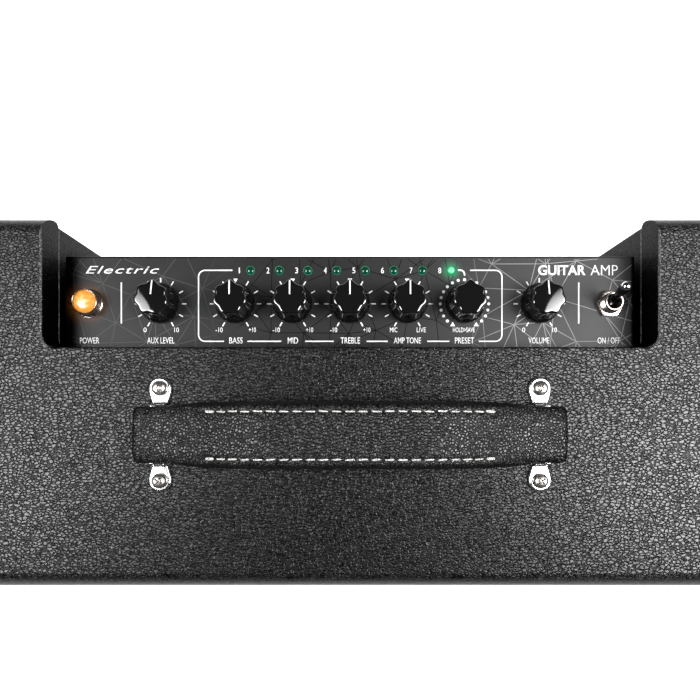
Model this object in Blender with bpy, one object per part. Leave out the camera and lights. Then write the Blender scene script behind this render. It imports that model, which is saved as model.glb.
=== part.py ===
"""Compact guitar amplifier: a vinyl-covered plywood cabinet with a strap handle and a sunken control panel.

Units are metres. +X is to the right as seen from the front, +Y to the rear and +Z up.
The origin is on the floor, under the middle of the cabinet.
"""

import math

import bmesh
import bpy
from mathutils import Matrix, Vector

# Cabinet
WIDTH = 0.520
DEPTH = 0.214
TOP_Z = 0.480  # top surface of the cabinet
FOOT_HEIGHT = 0.014
BOARD = 0.020  # covered top and bottom boards
SIDE = 0.018
CORNER_R = 0.012  # vertical corners of the cabinet
EDGE_R = 0.0095  # rounded long edges of the cabinet
GAP = 0.0003  # between pieces that touch
REAR = DEPTH / 2
UNDER_TOP = TOP_Z - BOARD - GAP  # top end of what stands under the top board
ON_BOTTOM = FOOT_HEIGHT + BOARD + GAP  # lower end of what stands on the bottom board
INNER_X = WIDTH / 2 - SIDE - GAP

# Notch in the top board, and the recess for the controls under it
NOTCH_X = 0.1765  # half width
NOTCH_DEPTH = 0.0749
NOTCH_R = 0.007
CHEEK = 0.015
SHELF_TOP = TOP_Z - 0.085
SHELF = 0.012
BULKHEAD_Y = REAR - 0.0925  # rear face
CHEEK_OUT = NOTCH_X + GAP + CHEEK

# Control chassis
PANEL_Z = TOP_Z - 0.0227
PANEL_X = 0.1738  # half width
PANEL_REAR = REAR - 0.0163
PANEL_FRONT = REAR - 0.0895
SHEET = 0.0015
KNOB_Y = REAR - 0.0457
LED_Y = KNOB_Y + 0.0204
LED_PITCH = 0.0175
LED_X = [0.0005 + LED_PITCH * (i - 3.5) for i in range(8)]
LED_R = 0.0023
LAMP_X = -0.159
TOGGLE_X = 0.1585
LAMP_HOLE_R = 0.0063
NUT_R = 0.0088  # across the corners, from the centre

# Knobs: name, place along the panel, and pointer angle at rest, clockwise from straight back
KNOBS = [
    ("aux_level", -0.1158, 6),
    ("bass", -0.070, 0),
    ("mid", -0.035, 0),
    ("treble", 0.0, 0),
    ("amp_tone", 0.035, 0),
    ("preset", 0.070, 0),
    ("volume", 0.1157, -4),
]
KNOB_R = 0.0121
KNOB_LIFT = 0.0015  # from the panel to the knob's lower edge
KNOB_HEIGHT = 0.017
SHAFT_R = 0.003
BORE_R = 0.0032
POT_R = 0.0085
BUSHING_R = 0.0045
HOLE_R = 0.0048
BOARD_TOP = PANEL_Z - 0.0125  # upper face of the control board
PCB = 0.0016
SHAFT_TOP = PANEL_Z + 0.0135

# Handle
HANDLE_Y = REAR - 0.125
BRACKET_X = 0.108
EAR_Y = 0.02625  # from the strap's centre line to a screw
EAR_WIDTH = 0.013
EAR_R = 0.0052  # corners of an ear
WAIST = 0.0086  # width of a bracket's bar, which runs through the strap
WAIST_Y = 0.0190  # where an ear has narrowed to the bar's width
BAR_TOP = 0.0088
BRACKET_THICK = 0.002
STRAP_END = 0.1195
STRAP_RISE = 0.01525  # of the strap's middle over its ends
STRAP_LIFT = 0.003  # play of the strap in its brackets

# Speakers
GRILLE_Y = -REAR + 0.0035
GRILLE_FRAME = 0.012
BAFFLE_Y = GRILLE_Y + 0.001 + GRILLE_FRAME + 2 * GAP  # front face
BAFFLE = 0.015
SPEAKER_Y = BAFFLE_Y + BAFFLE + GAP
WOOFER_Z = 0.194
HORN_Z = 0.405

# Rear panel
BACK_Y = REAR - 0.016  # outer face of the back panel
BACK = 0.012
PLATE_Z = 0.320
PLATE_Y = BACK_Y + GAP
PLATE = 0.002
INLET_X = -0.080
USB_X = -0.030
JACKS = [("instrument_jack", 0.020), ("line_jack", 0.060)]


# ---------------------------------------------------------------- helpers


def clear_scene():
    for old in list(bpy.data.objects):
        bpy.data.objects.remove(old, do_unlink=True)


def material(name, colour, roughness, metallic=0.0, glow=0.0):
    made = bpy.data.materials.new(name)
    made.use_nodes = True
    shader = made.node_tree.nodes["Principled BSDF"]
    shader.inputs["Base Color"].default_value = (*colour, 1)
    shader.inputs["Roughness"].default_value = roughness
    shader.inputs["Metallic"].default_value = metallic
    if glow:
        shader.inputs["Emission Color"].default_value = (*colour, 1)
        shader.inputs["Emission Strength"].default_value = glow
    return made


def add(name, shape, look, location=(0, 0, 0), parent=None, smooth=35):
    """Makes the bmesh an object: one sub-part. Edges flatter than smooth degrees are shaded round."""
    bmesh.ops.recalc_face_normals(shape, faces=shape.faces)
    mesh = bpy.data.meshes.new(name)
    shape.to_mesh(mesh)
    shape.free()
    mesh.shade_smooth()
    mesh.set_sharp_from_angle(angle=math.radians(smooth))
    made = bpy.data.objects.new(name, mesh)
    made.location = location
    made.parent = parent
    if look:
        mesh.materials.append(look)
    bpy.context.scene.collection.objects.link(made)
    return made


def pivot(name, location):
    """An empty on a joint's axis."""
    made = bpy.data.objects.new(name, None)
    made.location = location
    bpy.context.scene.collection.objects.link(made)
    return made


def combine(target, shape, operation, name):
    """Cuts the shape from the object, or joins or intersects the two."""
    tool = add(f"{target.name}_{name}", shape, None)
    tool.hide_render = True
    tool.display_type = "WIRE"
    tool.parent = target
    modifier = target.modifiers.new(name, "BOOLEAN")
    modifier.operation = operation
    modifier.solver = "EXACT"
    modifier.object = tool


def gather(shapes):
    """Several closed shapes, clear of each other, as one bmesh."""
    whole = bmesh.new()
    for shape in shapes:
        mesh = bpy.data.meshes.new("gathered")
        shape.to_mesh(mesh)
        shape.free()
        whole.from_mesh(mesh)
        bpy.data.meshes.remove(mesh)
    return whole


def moved(shape, offset):
    bmesh.ops.translate(shape, vec=offset, verts=shape.verts)
    return shape


def facing_rear(shape):
    """Turns a shape made along +Z so that it points along +Y."""
    bmesh.ops.rotate(shape, matrix=Matrix.Rotation(-math.pi / 2, 3, "X"), verts=shape.verts)
    return shape


def rounded(corners, steps=4):
    """An outline from (x, y, radius) corners, with an arc wherever the radius isn't 0."""
    outline = []
    for index, (x, y, radius) in enumerate(corners):
        corner = Vector((x, y))
        if not radius:
            outline.append(corner)
            continue
        before = (Vector(corners[index - 1][:2]) - corner).normalized()
        after = (Vector(corners[(index + 1) % len(corners)][:2]) - corner).normalized()
        half = before.angle(after) / 2
        centre = corner + (before + after).normalized() * radius / math.sin(half)
        start = corner + before * radius / math.tan(half) - centre
        turn = (corner + after * radius / math.tan(half) - centre).angle_signed(start)
        for step in range(steps + 1):
            outline.append(centre + Matrix.Rotation(turn * step / steps, 2) @ start)
    return outline


def prism(outline, low, high, normal="Z"):
    """The outline extruded along X, Y or Z. Its two coordinates are the other two axes, in order."""
    axis = "XYZ".index(normal)
    shape = bmesh.new()
    ends = []
    for level in (low, high):
        ring = []
        for point in outline:
            place = list(point)
            place.insert(axis, level)
            ring.append(shape.verts.new(place))
        ends.append(ring)
    for ring in ends:
        shape.faces.new(ring)
    sides(shape, ends)
    bmesh.ops.recalc_face_normals(shape, faces=shape.faces)
    return shape


def sides(shape, rings):
    """Faces between neighbouring rings. A ring of one vertex is a tip."""
    for first, second in zip(rings, rings[1:]):
        count = max(len(first), len(second))
        for i in range(count):
            j = (i + 1) % count
            loop = [
                first[i % len(first)],
                first[j % len(first)],
                second[j % len(second)],
                second[i % len(second)],
            ]
            shape.faces.new(list(dict.fromkeys(loop)))


def block(low, high):
    (x0, y0, z0), (x1, y1, z1) = low, high
    return prism([(x0, y0), (x1, y0), (x1, y1), (x0, y1)], z0, z1)


def turned(profile, count, closed=False):
    """A profile of (radius, height) turned about Z. It starts and ends on the axis, or is a closed loop."""
    shape = bmesh.new()
    rings = []
    for radius, height in profile:
        angles = [2 * math.pi * i / count for i in range(count if radius else 1)]
        rings.append(
            [shape.verts.new((radius * math.cos(a), radius * math.sin(a), height)) for a in angles]
        )
    sides(shape, rings + rings[:1] if closed else rings)
    bmesh.ops.recalc_face_normals(shape, faces=shape.faces)
    return shape


def rod(radius, low, high, count=16):
    return turned([(0, low), (radius, low), (radius, high), (0, high)], count)


def loft(rings, closed=False):
    """Rings of points joined into one skin, with flat ends or as a closed loop."""
    shape = bmesh.new()
    made = [[shape.verts.new(point) for point in ring] for ring in rings]
    sides(shape, made + made[:1] if closed else made)
    if not closed:
        shape.faces.new(made[0])
        shape.faces.new(made[-1])
    bmesh.ops.recalc_face_normals(shape, faces=shape.faces)
    return shape


def round_edges(shape, chosen, radius, steps=3):
    edges = [e for e in shape.edges if all(chosen(v.co) for v in e.verts)]
    bmesh.ops.bevel(
        shape, geom=edges, offset=radius, offset_type="OFFSET", segments=steps, profile=0.5, affect="EDGES"
    )
    return shape


# ---------------------------------------------------------------- cabinet


def cabinet_outline():
    x, y = WIDTH / 2, DEPTH / 2
    return [(-x, -y, CORNER_R), (x, -y, CORNER_R), (x, y, CORNER_R), (-x, y, CORNER_R)]


def on_rim(co):
    """True on the outer rim of a board that has the cabinet's outline."""
    x, y = WIDTH / 2 - CORNER_R, DEPTH / 2 - CORNER_R
    out = Vector((max(abs(co.x) - x, 0), max(abs(co.y) - y, 0)))
    return out.length > CORNER_R - 1e-5


def make_top_board(look):
    corners = cabinet_outline()
    notch = REAR - NOTCH_DEPTH
    corners[3:3] = [
        (NOTCH_X, REAR, 0),
        (NOTCH_X, notch, NOTCH_R),
        (-NOTCH_X, notch, NOTCH_R),
        (-NOTCH_X, REAR, 0),
    ]
    shape = prism(rounded(corners), TOP_Z - BOARD, TOP_Z)
    round_edges(shape, lambda co: co.z > TOP_Z - 1e-5 and on_rim(co), EDGE_R)
    board = add("top_board", shape, look)
    holes = [
        moved(rod(0.0023, TOP_Z - 2 * BOARD, TOP_Z + BOARD, 10), (x, HANDLE_Y + y, 0))
        for x in (-BRACKET_X, BRACKET_X)
        for y in (-EAR_Y, EAR_Y)
    ]
    combine(board, gather(holes), "DIFFERENCE", "screw_holes")


def make_bottom_board(look):
    shape = prism(rounded(cabinet_outline()), FOOT_HEIGHT, FOOT_HEIGHT + BOARD)
    round_edges(shape, lambda co: co.z < FOOT_HEIGHT + 1e-5 and on_rim(co), EDGE_R)
    add("bottom_board", shape, look)


def make_side_boards(look):
    y = DEPTH / 2
    for name, sign in (("left", -1), ("right", 1)):
        outer, inner = sign * WIDTH / 2, sign * (WIDTH / 2 - SIDE)
        corners = [(outer, -y, CORNER_R), (outer, y, CORNER_R), (inner, y, 0), (inner, -y, 0)]
        add(f"side_board_{name}", prism(rounded(corners), ON_BOTTOM, UNDER_TOP), look)


def make_recess(look, bare_wood):
    """The cheeks, shelf and bulkhead that box in the controls."""
    for name, sign in (("left", -1), ("right", 1)):
        x = sorted((sign * (NOTCH_X + GAP), sign * CHEEK_OUT))
        shape = block((x[0], BULKHEAD_Y - SHELF, SHELF_TOP + GAP), (x[1], REAR, UNDER_TOP))
        add(f"cheek_{name}", shape, look)
    low = (-CHEEK_OUT, BULKHEAD_Y - SHELF, SHELF_TOP - SHELF)
    add("control_shelf", block(low, (CHEEK_OUT, REAR, SHELF_TOP)), look)
    low = (-NOTCH_X, BULKHEAD_Y - SHELF, SHELF_TOP + GAP)
    add("control_bulkhead", block(low, (NOTCH_X, BULKHEAD_Y, UNDER_TOP)), bare_wood)


def make_back_panel(look):
    x, cut_x = INNER_X, CHEEK_OUT + GAP
    cut_z = SHELF_TOP - SHELF - GAP
    outline = [
        (-x, ON_BOTTOM),
        (x, ON_BOTTOM),
        (x, UNDER_TOP),
        (cut_x, UNDER_TOP),
        (cut_x, cut_z),
        (-cut_x, cut_z),
        (-cut_x, UNDER_TOP),
        (-x, UNDER_TOP),
    ]
    panel = add("back_panel", prism(outline, BACK_Y - BACK, BACK_Y, "Y"), look)
    window = block((-0.100, BACK_Y - 2 * BACK, PLATE_Z - 0.026), (0.100, REAR, PLATE_Z + 0.026))
    combine(panel, window, "DIFFERENCE", "amplifier_window")


def make_front(bare_wood, frame_look, cloth):
    """The baffle with its speaker holes, and the grille frame with its cloth."""
    low = (-INNER_X, BAFFLE_Y, ON_BOTTOM)
    baffle = add("baffle_board", block(low, (INNER_X, BAFFLE_Y + BAFFLE, UNDER_TOP)), bare_wood)
    front, rear = BAFFLE_Y - BAFFLE, BAFFLE_Y + 2 * BAFFLE
    woofer_hole = moved(facing_rear(rod(0.142, front, rear, 32)), (0, 0, WOOFER_Z))
    horn_hole = block((-0.060, front, HORN_Z - 0.038), (0.060, rear, HORN_Z + 0.038))
    combine(baffle, gather([woofer_hole, horn_hole]), "DIFFERENCE", "speaker_holes")

    bar = 0.018
    front = GRILLE_Y + 0.001 + GAP
    shape = block((-INNER_X, front, ON_BOTTOM), (INNER_X, front + GRILLE_FRAME, UNDER_TOP))
    frame = add("grille_frame", shape, frame_look)
    inside = block((bar - INNER_X, -REAR, ON_BOTTOM + bar), (INNER_X - bar, 0, UNDER_TOP - bar))
    combine(frame, inside, "DIFFERENCE", "opening")
    low = (-INNER_X, GRILLE_Y, ON_BOTTOM)
    add("grille_cloth", block(low, (INNER_X, GRILLE_Y + 0.001, UNDER_TOP)), cloth)


def make_feet(rubber):
    height = FOOT_HEIGHT - GAP
    hollow = 0.006
    profile = [(0, hollow), (0.005, hollow), (0.006, 0), (0.015, 0), (0.0165, 0.0015), (0.019, height)]
    profile.append((0, height))
    for index, (x, y) in enumerate(((-1, -1), (1, -1), (-1, 1), (1, 1)), 1):
        add(f"foot_{index}", turned(profile, 20), rubber, (x * 0.215, y * 0.072, 0))


# ---------------------------------------------------------------- handle


def arch(x):
    """0 at the strap's ends and 1 along its raised middle."""
    t = min(max((0.112 - abs(x)) / 0.070, 0), 1)
    return t * t * (3 - 2 * t)


def strap_rings(half_width, half_thickness, middle, stations, points):
    """Cross-sections of the strap, or of something that runs along inside it."""
    rings = []
    for x in stations:
        ring = []
        for i in range(points):
            a = 2 * math.pi * i / points
            y = math.copysign(abs(math.cos(a)) ** 0.45, math.cos(a)) * half_width(x)
            z = math.copysign(abs(math.sin(a)) ** 0.7, math.sin(a)) * half_thickness(x)
            ring.append((x, y, middle + STRAP_RISE * arch(x) + z))
        rings.append(ring)
    return rings


def strap_half_width(x):
    past = min(max((abs(x) - (STRAP_END - 0.004)) / 0.004, 0), 0.999)
    return 0.0158 + 0.0022 * arch(x) - 0.004 * (1 - math.sqrt(1 - past * past))


def make_handle(leather, steel, chrome):
    """The padded strap over its spring-steel core, held by a bracket across each end."""
    middle = 0.00775
    reach = [0, 0.042, 0.054, 0.065, 0.077, 0.089, 0.100, 0.110, 0.1160, STRAP_END]
    stations = [-x for x in reversed(reach[1:])] + reach
    rings = strap_rings(strap_half_width, lambda x: 0.00625 + 0.00075 * arch(x), middle, stations, 14)
    lift = pivot("handle_lift", (0, HANDLE_Y, TOP_Z))
    strap = add("handle_strap", loft(rings), leather, parent=lift, smooth=50)

    core_end, slot_end = 0.112, 0.125
    run = [x for x in stations if abs(x) < core_end]
    core = ribbon([-core_end, *run, core_end], 0.0095, 0.0004)
    add("handle_core", core, steel, parent=lift)
    slot = ribbon([-slot_end, *run, slot_end], 0.0099, 0.0008)
    combine(strap, slot, "DIFFERENCE", "core_slot")
    half = WAIST / 2 + 2 * GAP
    low, high = BAR_TOP - BRACKET_THICK - STRAP_LIFT - 2 * GAP, BAR_TOP + GAP
    tunnels = [
        block((x - half, -2 * strap_half_width(0), low), (x + half, 2 * strap_half_width(0), high))
        for x in (-BRACKET_X, BRACKET_X)
    ]
    combine(strap, gather(tunnels), "DIFFERENCE", "bracket_tunnels")
    make_bracket("handle_bracket_left", -BRACKET_X, chrome)
    make_bracket("handle_bracket_right", BRACKET_X, chrome)


def ribbon(stations, half_width, half_thickness):
    """A flat strip along the inside of the strap."""
    lowest = 0.0098
    corners = [(-1, -1), (1, -1), (1, 1), (-1, 1)]
    rings = []
    for x in stations:
        z = lowest + 0.92 * STRAP_RISE * arch(x)
        rings.append([(x, half_width * side, z + half_thickness * face) for side, face in corners])
    return loft(rings)


def make_bracket(name, x, chrome):
    """A strip with a rounded ear at each end and a raised bar between them, over which the strap hangs."""
    ear_end, ear, waist = EAR_Y + EAR_WIDTH / 2, EAR_WIDTH / 2 - 1e-4, WAIST / 2
    shape = prism(bracket_outline(ear_end), -EAR_WIDTH / 2, EAR_WIDTH / 2, "X")
    bracket = add(name, shape, chrome, (x, HANDLE_Y, TOP_Z))
    quarter = [(ear, -ear_end, EAR_R), (waist, -WAIST_Y, 0)]
    half = quarter + [(px, -py, r) for px, py, r in reversed(quarter)]
    plan = half + [(-px, py, r) for px, py, r in reversed(half)]
    combine(bracket, prism(rounded(plan, 6), -0.01, 0.02), "INTERSECT", "plan")
    holes = [moved(rod(0.0023, -0.01, 0.02, 12), (0, y, 0)) for y in (-EAR_Y, EAR_Y)]
    combine(bracket, gather(holes), "DIFFERENCE", "screw_holes")


def bracket_outline(ear_end):
    """Side view of a bracket."""
    foot, crown = GAP, BAR_TOP - BRACKET_THICK
    upper = [(-ear_end - 0.001, foot + BRACKET_THICK), (-0.0205, foot + BRACKET_THICK), (-0.0178, BAR_TOP)]
    lower = [(0.0172, crown), (0.0199, foot), (ear_end + 0.001, foot)]
    upper += [(-y, z) for y, z in reversed(upper)]
    lower += [(-y, z) for y, z in reversed(lower)]
    return upper + sorted(lower, reverse=True)


def make_handle_screws(chrome):
    """Pan-head wood screws with a cross recess."""
    seat = 0.0026
    profile = [(0, -0.015), (0.001, -0.013), (0.0019, -0.010), (0.0019, seat), (0.0052, seat)]
    profile += [(0.0052, seat + 0.0008), (0.0042, seat + 0.0024), (0.0020, seat + 0.0031), (0, seat + 0.0032)]
    index = 0
    for x in (-BRACKET_X, BRACKET_X):
        for y in (-EAR_Y, EAR_Y):
            index += 1
            place = (x, HANDLE_Y + y, TOP_Z)
            screw = add(f"handle_screw_{index}", turned(profile, 12), chrome, place)
            arm, slot = 0.0026, 0.0006
            low, high = seat + 0.0014, seat + 0.006
            half = [(slot, slot), (slot, arm), (-slot, arm), (-slot, slot), (-arm, slot), (-arm, -slot)]
            plus = half + [(-px, -py) for px, py in half]
            combine(screw, prism(plus, low, high), "DIFFERENCE", "cross_recess")


# ---------------------------------------------------------------- controls


def make_chassis(look):
    """Sheet steel bent down at the rear and the front, with a hole for each control."""
    low = SHELF_TOP + GAP
    outline = [
        (PANEL_FRONT, low),
        (PANEL_FRONT + SHEET, low),
        (PANEL_FRONT + SHEET, PANEL_Z - SHEET),
        (PANEL_REAR - SHEET, PANEL_Z - SHEET),
        (PANEL_REAR - SHEET, low),
        (PANEL_REAR, low),
        (PANEL_REAR, PANEL_Z - 0.001),
        (PANEL_REAR - 0.001, PANEL_Z),
        (PANEL_FRONT, PANEL_Z),
    ]
    chassis = add("control_chassis", prism(outline, -PANEL_X, PANEL_X, "X"), look)
    places = [(x, KNOB_Y, HOLE_R, 12) for _, x, _ in KNOBS]
    places += [(x, LED_Y, LED_R + 0.0003, 8) for x in LED_X]
    places += [(x, KNOB_Y, LAMP_HOLE_R, 20) for x in (LAMP_X, TOGGLE_X)]
    holes = [moved(rod(r, PANEL_Z - 0.006, PANEL_Z + 0.004, n), (x, y, 0)) for x, y, r, n in places]
    combine(chassis, gather(holes), "DIFFERENCE", "control_holes")


def make_control_board(look):
    """The circuit board with the potentiometer cases that are soldered to it."""
    low = (-0.130, KNOB_Y - 0.021, BOARD_TOP - PCB)
    board = add("control_board", block(low, (0.130, KNOB_Y + 0.026, BOARD_TOP)), look)
    cases = [moved(turned(pot_case(name), 12), (x, KNOB_Y, 0)) for name, x, _ in KNOBS]
    combine(board, gather(cases), "UNION", "pot_cases")


def pot_case(name):
    """Profile of a potentiometer's case and bushing. The encoder's case also holds a chamber for its rotor."""
    top, end, floor = PANEL_Z - SHEET - 0.001, PANEL_Z + 0.003, BOARD_TOP + 0.001
    outside = [(0, BOARD_TOP - PCB / 2), (POT_R, BOARD_TOP - PCB / 2), (POT_R, top), (BUSHING_R, top)]
    bore = [(BUSHING_R, end), (BORE_R, end), (BORE_R, floor), (0, floor)]
    if name == "preset":
        low, high = BOARD_TOP + 0.0028, BOARD_TOP + 0.0082
        bore[2:2] = [(BORE_R, high), (0.0068, high), (0.0068, low), (BORE_R, low)]
    return outside + bore


def knob_shape():
    """A skirted knob, hollow underneath, with a bore for its shaft and a pointed nose towards +Y."""
    bore_top = SHAFT_TOP + GAP - PANEL_Z - KNOB_LIFT
    height = KNOB_HEIGHT
    profile = [
        (0, bore_top),
        (BORE_R, bore_top),
        (BORE_R, 0.004),
        (0.0075, 0.004),
        (0.0075, 0),
        (KNOB_R, 0),
        (KNOB_R, 0.0022),
        (0.0100, 0.0038),
        (0.0096, height - 0.0006),
        (0.0088, height),
        (0, height),
    ]
    shape = turned(profile, 20)
    for vert in shape.verts:
        if vert.co.z > 0.003 and vert.co.to_2d().length > 0.008 and vert.co.y > 0.0087:
            vert.co.y += 0.0016
    return shape


def make_knobs(look, steel):
    for name, x, rest in KNOBS:
        axis = pivot(f"{name}_axis", (x, KNOB_Y, PANEL_Z))
        axis.rotation_euler.z = math.radians(-rest)
        add(f"{name}_knob", knob_shape(), look, (0, 0, KNOB_LIFT), axis)
        foot = BOARD_TOP + (0.0022 if name == "preset" else 0.0013)
        shaft = [(0, foot), (SHAFT_R, foot), (SHAFT_R, SHAFT_TOP), (0, SHAFT_TOP)]
        shaft = [(radius, height - PANEL_Z) for radius, height in shaft]
        add(f"{name}_shaft", turned(shaft, 12), steel, parent=axis)
        if name == "preset":
            rotor = [(BORE_R, 0.0033), (0.0064, 0.0033), (0.0064, 0.0077), (BORE_R, 0.0077)]
            rotor = [(radius, height + BOARD_TOP - PANEL_Z) for radius, height in rotor]
            add("encoder_rotor", turned(rotor, 16, closed=True), look, parent=axis)


def make_light_pipe(look):
    """One clear moulding: a bar under the panel with a lens in each of eight holes."""
    end = 3.5 * LED_PITCH + 0.005
    centre = 0.0005
    low, high = PANEL_Z - SHEET - 0.003, PANEL_Z - SHEET - 0.0005
    bar = block((centre - end, LED_Y - 0.0035, low), (centre + end, LED_Y + 0.0035, high))
    pipe = add("led_light_pipe", bar, look)
    lens = [(0, high - 0.001), (LED_R, high - 0.001), (LED_R, PANEL_Z + 0.0004)]
    lens += [(LED_R * 0.7, PANEL_Z + 0.0011), (0, PANEL_Z + 0.0014)]
    lenses = [moved(turned(lens, 8), (x, LED_Y, 0)) for x in LED_X]
    combine(pipe, gather(lenses), "UNION", "lenses")


def make_lamp(chrome, amber):
    seat = 0.0030
    bezel = [
        (0.0045, -0.014),
        (0.0060, -0.014),
        (0.0060, GAP),
        (0.0088, GAP),
        (0.0088, 0.0010),
        (0.0076, 0.0015),
        (0.0076, 0.0072),
        (0.0072, 0.0078),
        (0.0068, 0.0078),
        (0.0068, seat),
        (0.0045, seat),
    ]
    place = (LAMP_X, KNOB_Y, PANEL_Z)
    add("lamp_bezel", turned(bezel, 24, closed=True), chrome, place)
    foot = seat + GAP
    jewel = [(0, foot), (0.0065, foot), (0.0065, 0.0072), (0.0056, 0.0082), (0.0030, 0.0089), (0, 0.0091)]
    add("lamp_jewel", turned(jewel, 24), amber, place)


def make_toggle(plastic, chrome):
    """A bat-handle switch. Its lever leans back, in the on position."""
    place = (TOGGLE_X, KNOB_Y, PANEL_Z)
    case = block((-0.0065, -0.013, -0.024), (0.0065, 0.013, -SHEET - 0.0005))
    body = add("toggle_body", case, plastic, place)
    combine(body, rod(0.0060, -0.004, 0.0075, 20), "UNION", "bushing")
    combine(body, rod(0.0044, -0.0016, 0.010, 16), "DIFFERENCE", "lever_well")
    nut = add("toggle_nut", rod(NUT_R, GAP, 0.0024, 6), chrome, place)
    combine(nut, rod(0.0063, -0.01, 0.01, 20), "DIFFERENCE", "bore")
    pivot_z = 0.0015
    axis = pivot("toggle_axis", (TOGGLE_X, KNOB_Y, PANEL_Z + pivot_z))
    axis.rotation_euler.x = math.radians(-16)
    bat = [(0, -0.0026), (0.0018, -0.0019), (0.0026, 0), (0.0018, 0.0019), (0.0017, 0.006)]
    bat += [(0.0027, 0.019), (0.0028, 0.0215), (0.0019, 0.0229), (0, 0.0232)]
    add("toggle_lever", turned(bat, 14), chrome, parent=axis)


# ---------------------------------------------------------------- rear connectors


def behind(x, half_x, half_z, front, rear):
    """A block centred on x and on the plate's middle height."""
    return block((x - half_x, front, PLATE_Z - half_z), (x + half_x, rear, PLATE_Z + half_z))


def make_rear(plate_look, module_look, plastic):
    plate = add("io_plate", behind(0, 0.110, 0.032, PLATE_Y, PLATE_Y + PLATE), plate_look)
    front, rear = PLATE_Y - 0.01, PLATE_Y + 0.01
    holes = [behind(INLET_X, 0.0145, 0.0105, front, rear), behind(USB_X, 0.0064, 0.0060, front, rear)]
    for _, x in JACKS:
        holes.append(moved(facing_rear(rod(0.0059, front, rear)), (x, 0, PLATE_Z)))
    combine(plate, gather(holes), "DIFFERENCE", "connector_holes")
    make_inlet(plastic)
    make_usb(plastic)
    inside = PLATE_Y - GAP
    for name, x in JACKS:
        jack = add(name, behind(x, 0.008, 0.008, inside - 0.025, inside), plastic)
        collar = facing_rear(rod(0.0055, inside - 0.004, PLATE_Y + PLATE + 0.003))
        combine(jack, moved(collar, (x, 0, PLATE_Z)), "UNION", "collar")
        bore = facing_rear(rod(0.0035, inside - 0.022, REAR))
        combine(jack, moved(bore, (x, 0, PLATE_Z)), "DIFFERENCE", "plug_bore")
    make_amp_module(module_look)


def make_inlet(plastic):
    """Mains inlet: a flange outside the plate, a body through it, and three pins in its recess."""
    outer = PLATE_Y + PLATE
    inlet = add("mains_inlet", behind(INLET_X, 0.020, 0.0135, outer + GAP, outer + 0.003), plastic)
    body = behind(INLET_X, 0.014, 0.010, outer - 0.026, outer + 0.002)
    combine(inlet, body, "UNION", "body")
    cavity = behind(INLET_X, 0.012, 0.008, outer - 0.018, outer + 0.010)
    combine(inlet, cavity, "DIFFERENCE", "socket")
    pins = [
        moved(behind(INLET_X + x, 0.001, 0.002, outer - 0.020, outer - 0.006), (0, 0, z))
        for x, z in ((-0.007, -0.002), (0, 0.002), (0.007, -0.002))
    ]
    combine(inlet, gather(pins), "UNION", "pins")


def make_usb(plastic):
    outer = PLATE_Y + PLATE
    usb = add("usb_socket", behind(USB_X, 0.006, 0.0056, outer - 0.016, outer + 0.0008), plastic)
    mouth = behind(USB_X, 0.0045, 0.0042, outer - 0.011, outer + 0.010)
    combine(usb, mouth, "DIFFERENCE", "mouth")


def make_amp_module(look):
    """Finned heat sink of the power amplifier, on four posts behind the plate."""
    rear, base, fin, count = 0.060, 0.004, 0.0022, 9
    x_end, tip = 0.095, 0.036
    outline = [(-x_end, rear), (x_end, rear)]
    pitch = (2 * x_end - fin) / (count - 1)
    for i in range(count):
        right = x_end - i * pitch
        outline += [(right, rear - base), (right, tip), (right - fin, tip), (right - fin, rear - base)]
    outline = outline[:2] + outline[3:-1]
    module = add("amp_module", prism(outline, PLATE_Z - 0.030, PLATE_Z + 0.030), look)
    posts = [
        moved(facing_rear(rod(0.003, rear - 0.002, PLATE_Y - GAP, 10)), (x, 0, PLATE_Z + z))
        for x in (-0.052, 0.088)
        for z in (-0.019, 0.019)
    ]
    combine(module, gather(posts), "UNION", "posts")


# ---------------------------------------------------------------- speakers


def make_woofer(frame_look, magnet_look, paper, rubber):
    place = (0, SPEAKER_Y, WOOFER_Z)
    basket = [
        (0.154, 0),
        (0.154, 0.004),
        (0.137, 0.004),
        (0.118, 0.050),
        (0.064, 0.068),
        (0.062, 0.0735),
        (0.030, 0.0735),
        (0.030, 0.0705),
        (0.058, 0.065),
        (0.114, 0.0475),
        (0.132, 0.004),
        (0.132, 0),
    ]
    frame = add("woofer_frame", facing_rear(turned(basket, 24, closed=True)), frame_look, place)
    windows = []
    for i in range(4):
        turn = Matrix.Rotation(math.pi / 2 * i + math.pi / 4, 3, "Y")
        cutter = block((0.068, 0.014, -0.042), (0.160, 0.058, 0.042))
        bmesh.ops.rotate(cutter, matrix=turn, verts=cutter.verts)
        windows.append(cutter)
    combine(frame, gather(windows), "DIFFERENCE", "windows")
    magnet = [(0, 0.0742), (0.0235, 0.0742), (0.0235, 0.092), (0.0275, 0.092), (0.0275, 0.0742)]
    magnet += [(0.0725, 0.0742), (0.0725, 0.103), (0.068, 0.106), (0, 0.106)]
    add("woofer_magnet", facing_rear(turned(magnet, 24)), magnet_look, place)
    cone = [
        (0, 0.030),
        (0.018, 0.033),
        (0.030, 0.0400),
        (0.1175, 0.0030),
        (0.1175, 0.0045),
        (0.0262, 0.0440),
        (0.0262, 0.0840),
        (0.0248, 0.0840),
        (0.0248, 0.0410),
        (0.015, 0.0350),
        (0, 0.0320),
    ]
    add("woofer_cone", facing_rear(turned(cone, 24)), paper, place)
    roll = [(0.1185, 0.0040), (0.1200, 0.0), (0.1230, -0.0025), (0.1270, -0.0025), (0.1300, 0.0)]
    roll += [(0.1312, 0.0035), (0.1270, 0.0010), (0.1235, 0.0010)]
    add("woofer_surround", facing_rear(turned(roll, 24, closed=True)), rubber, place)


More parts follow.
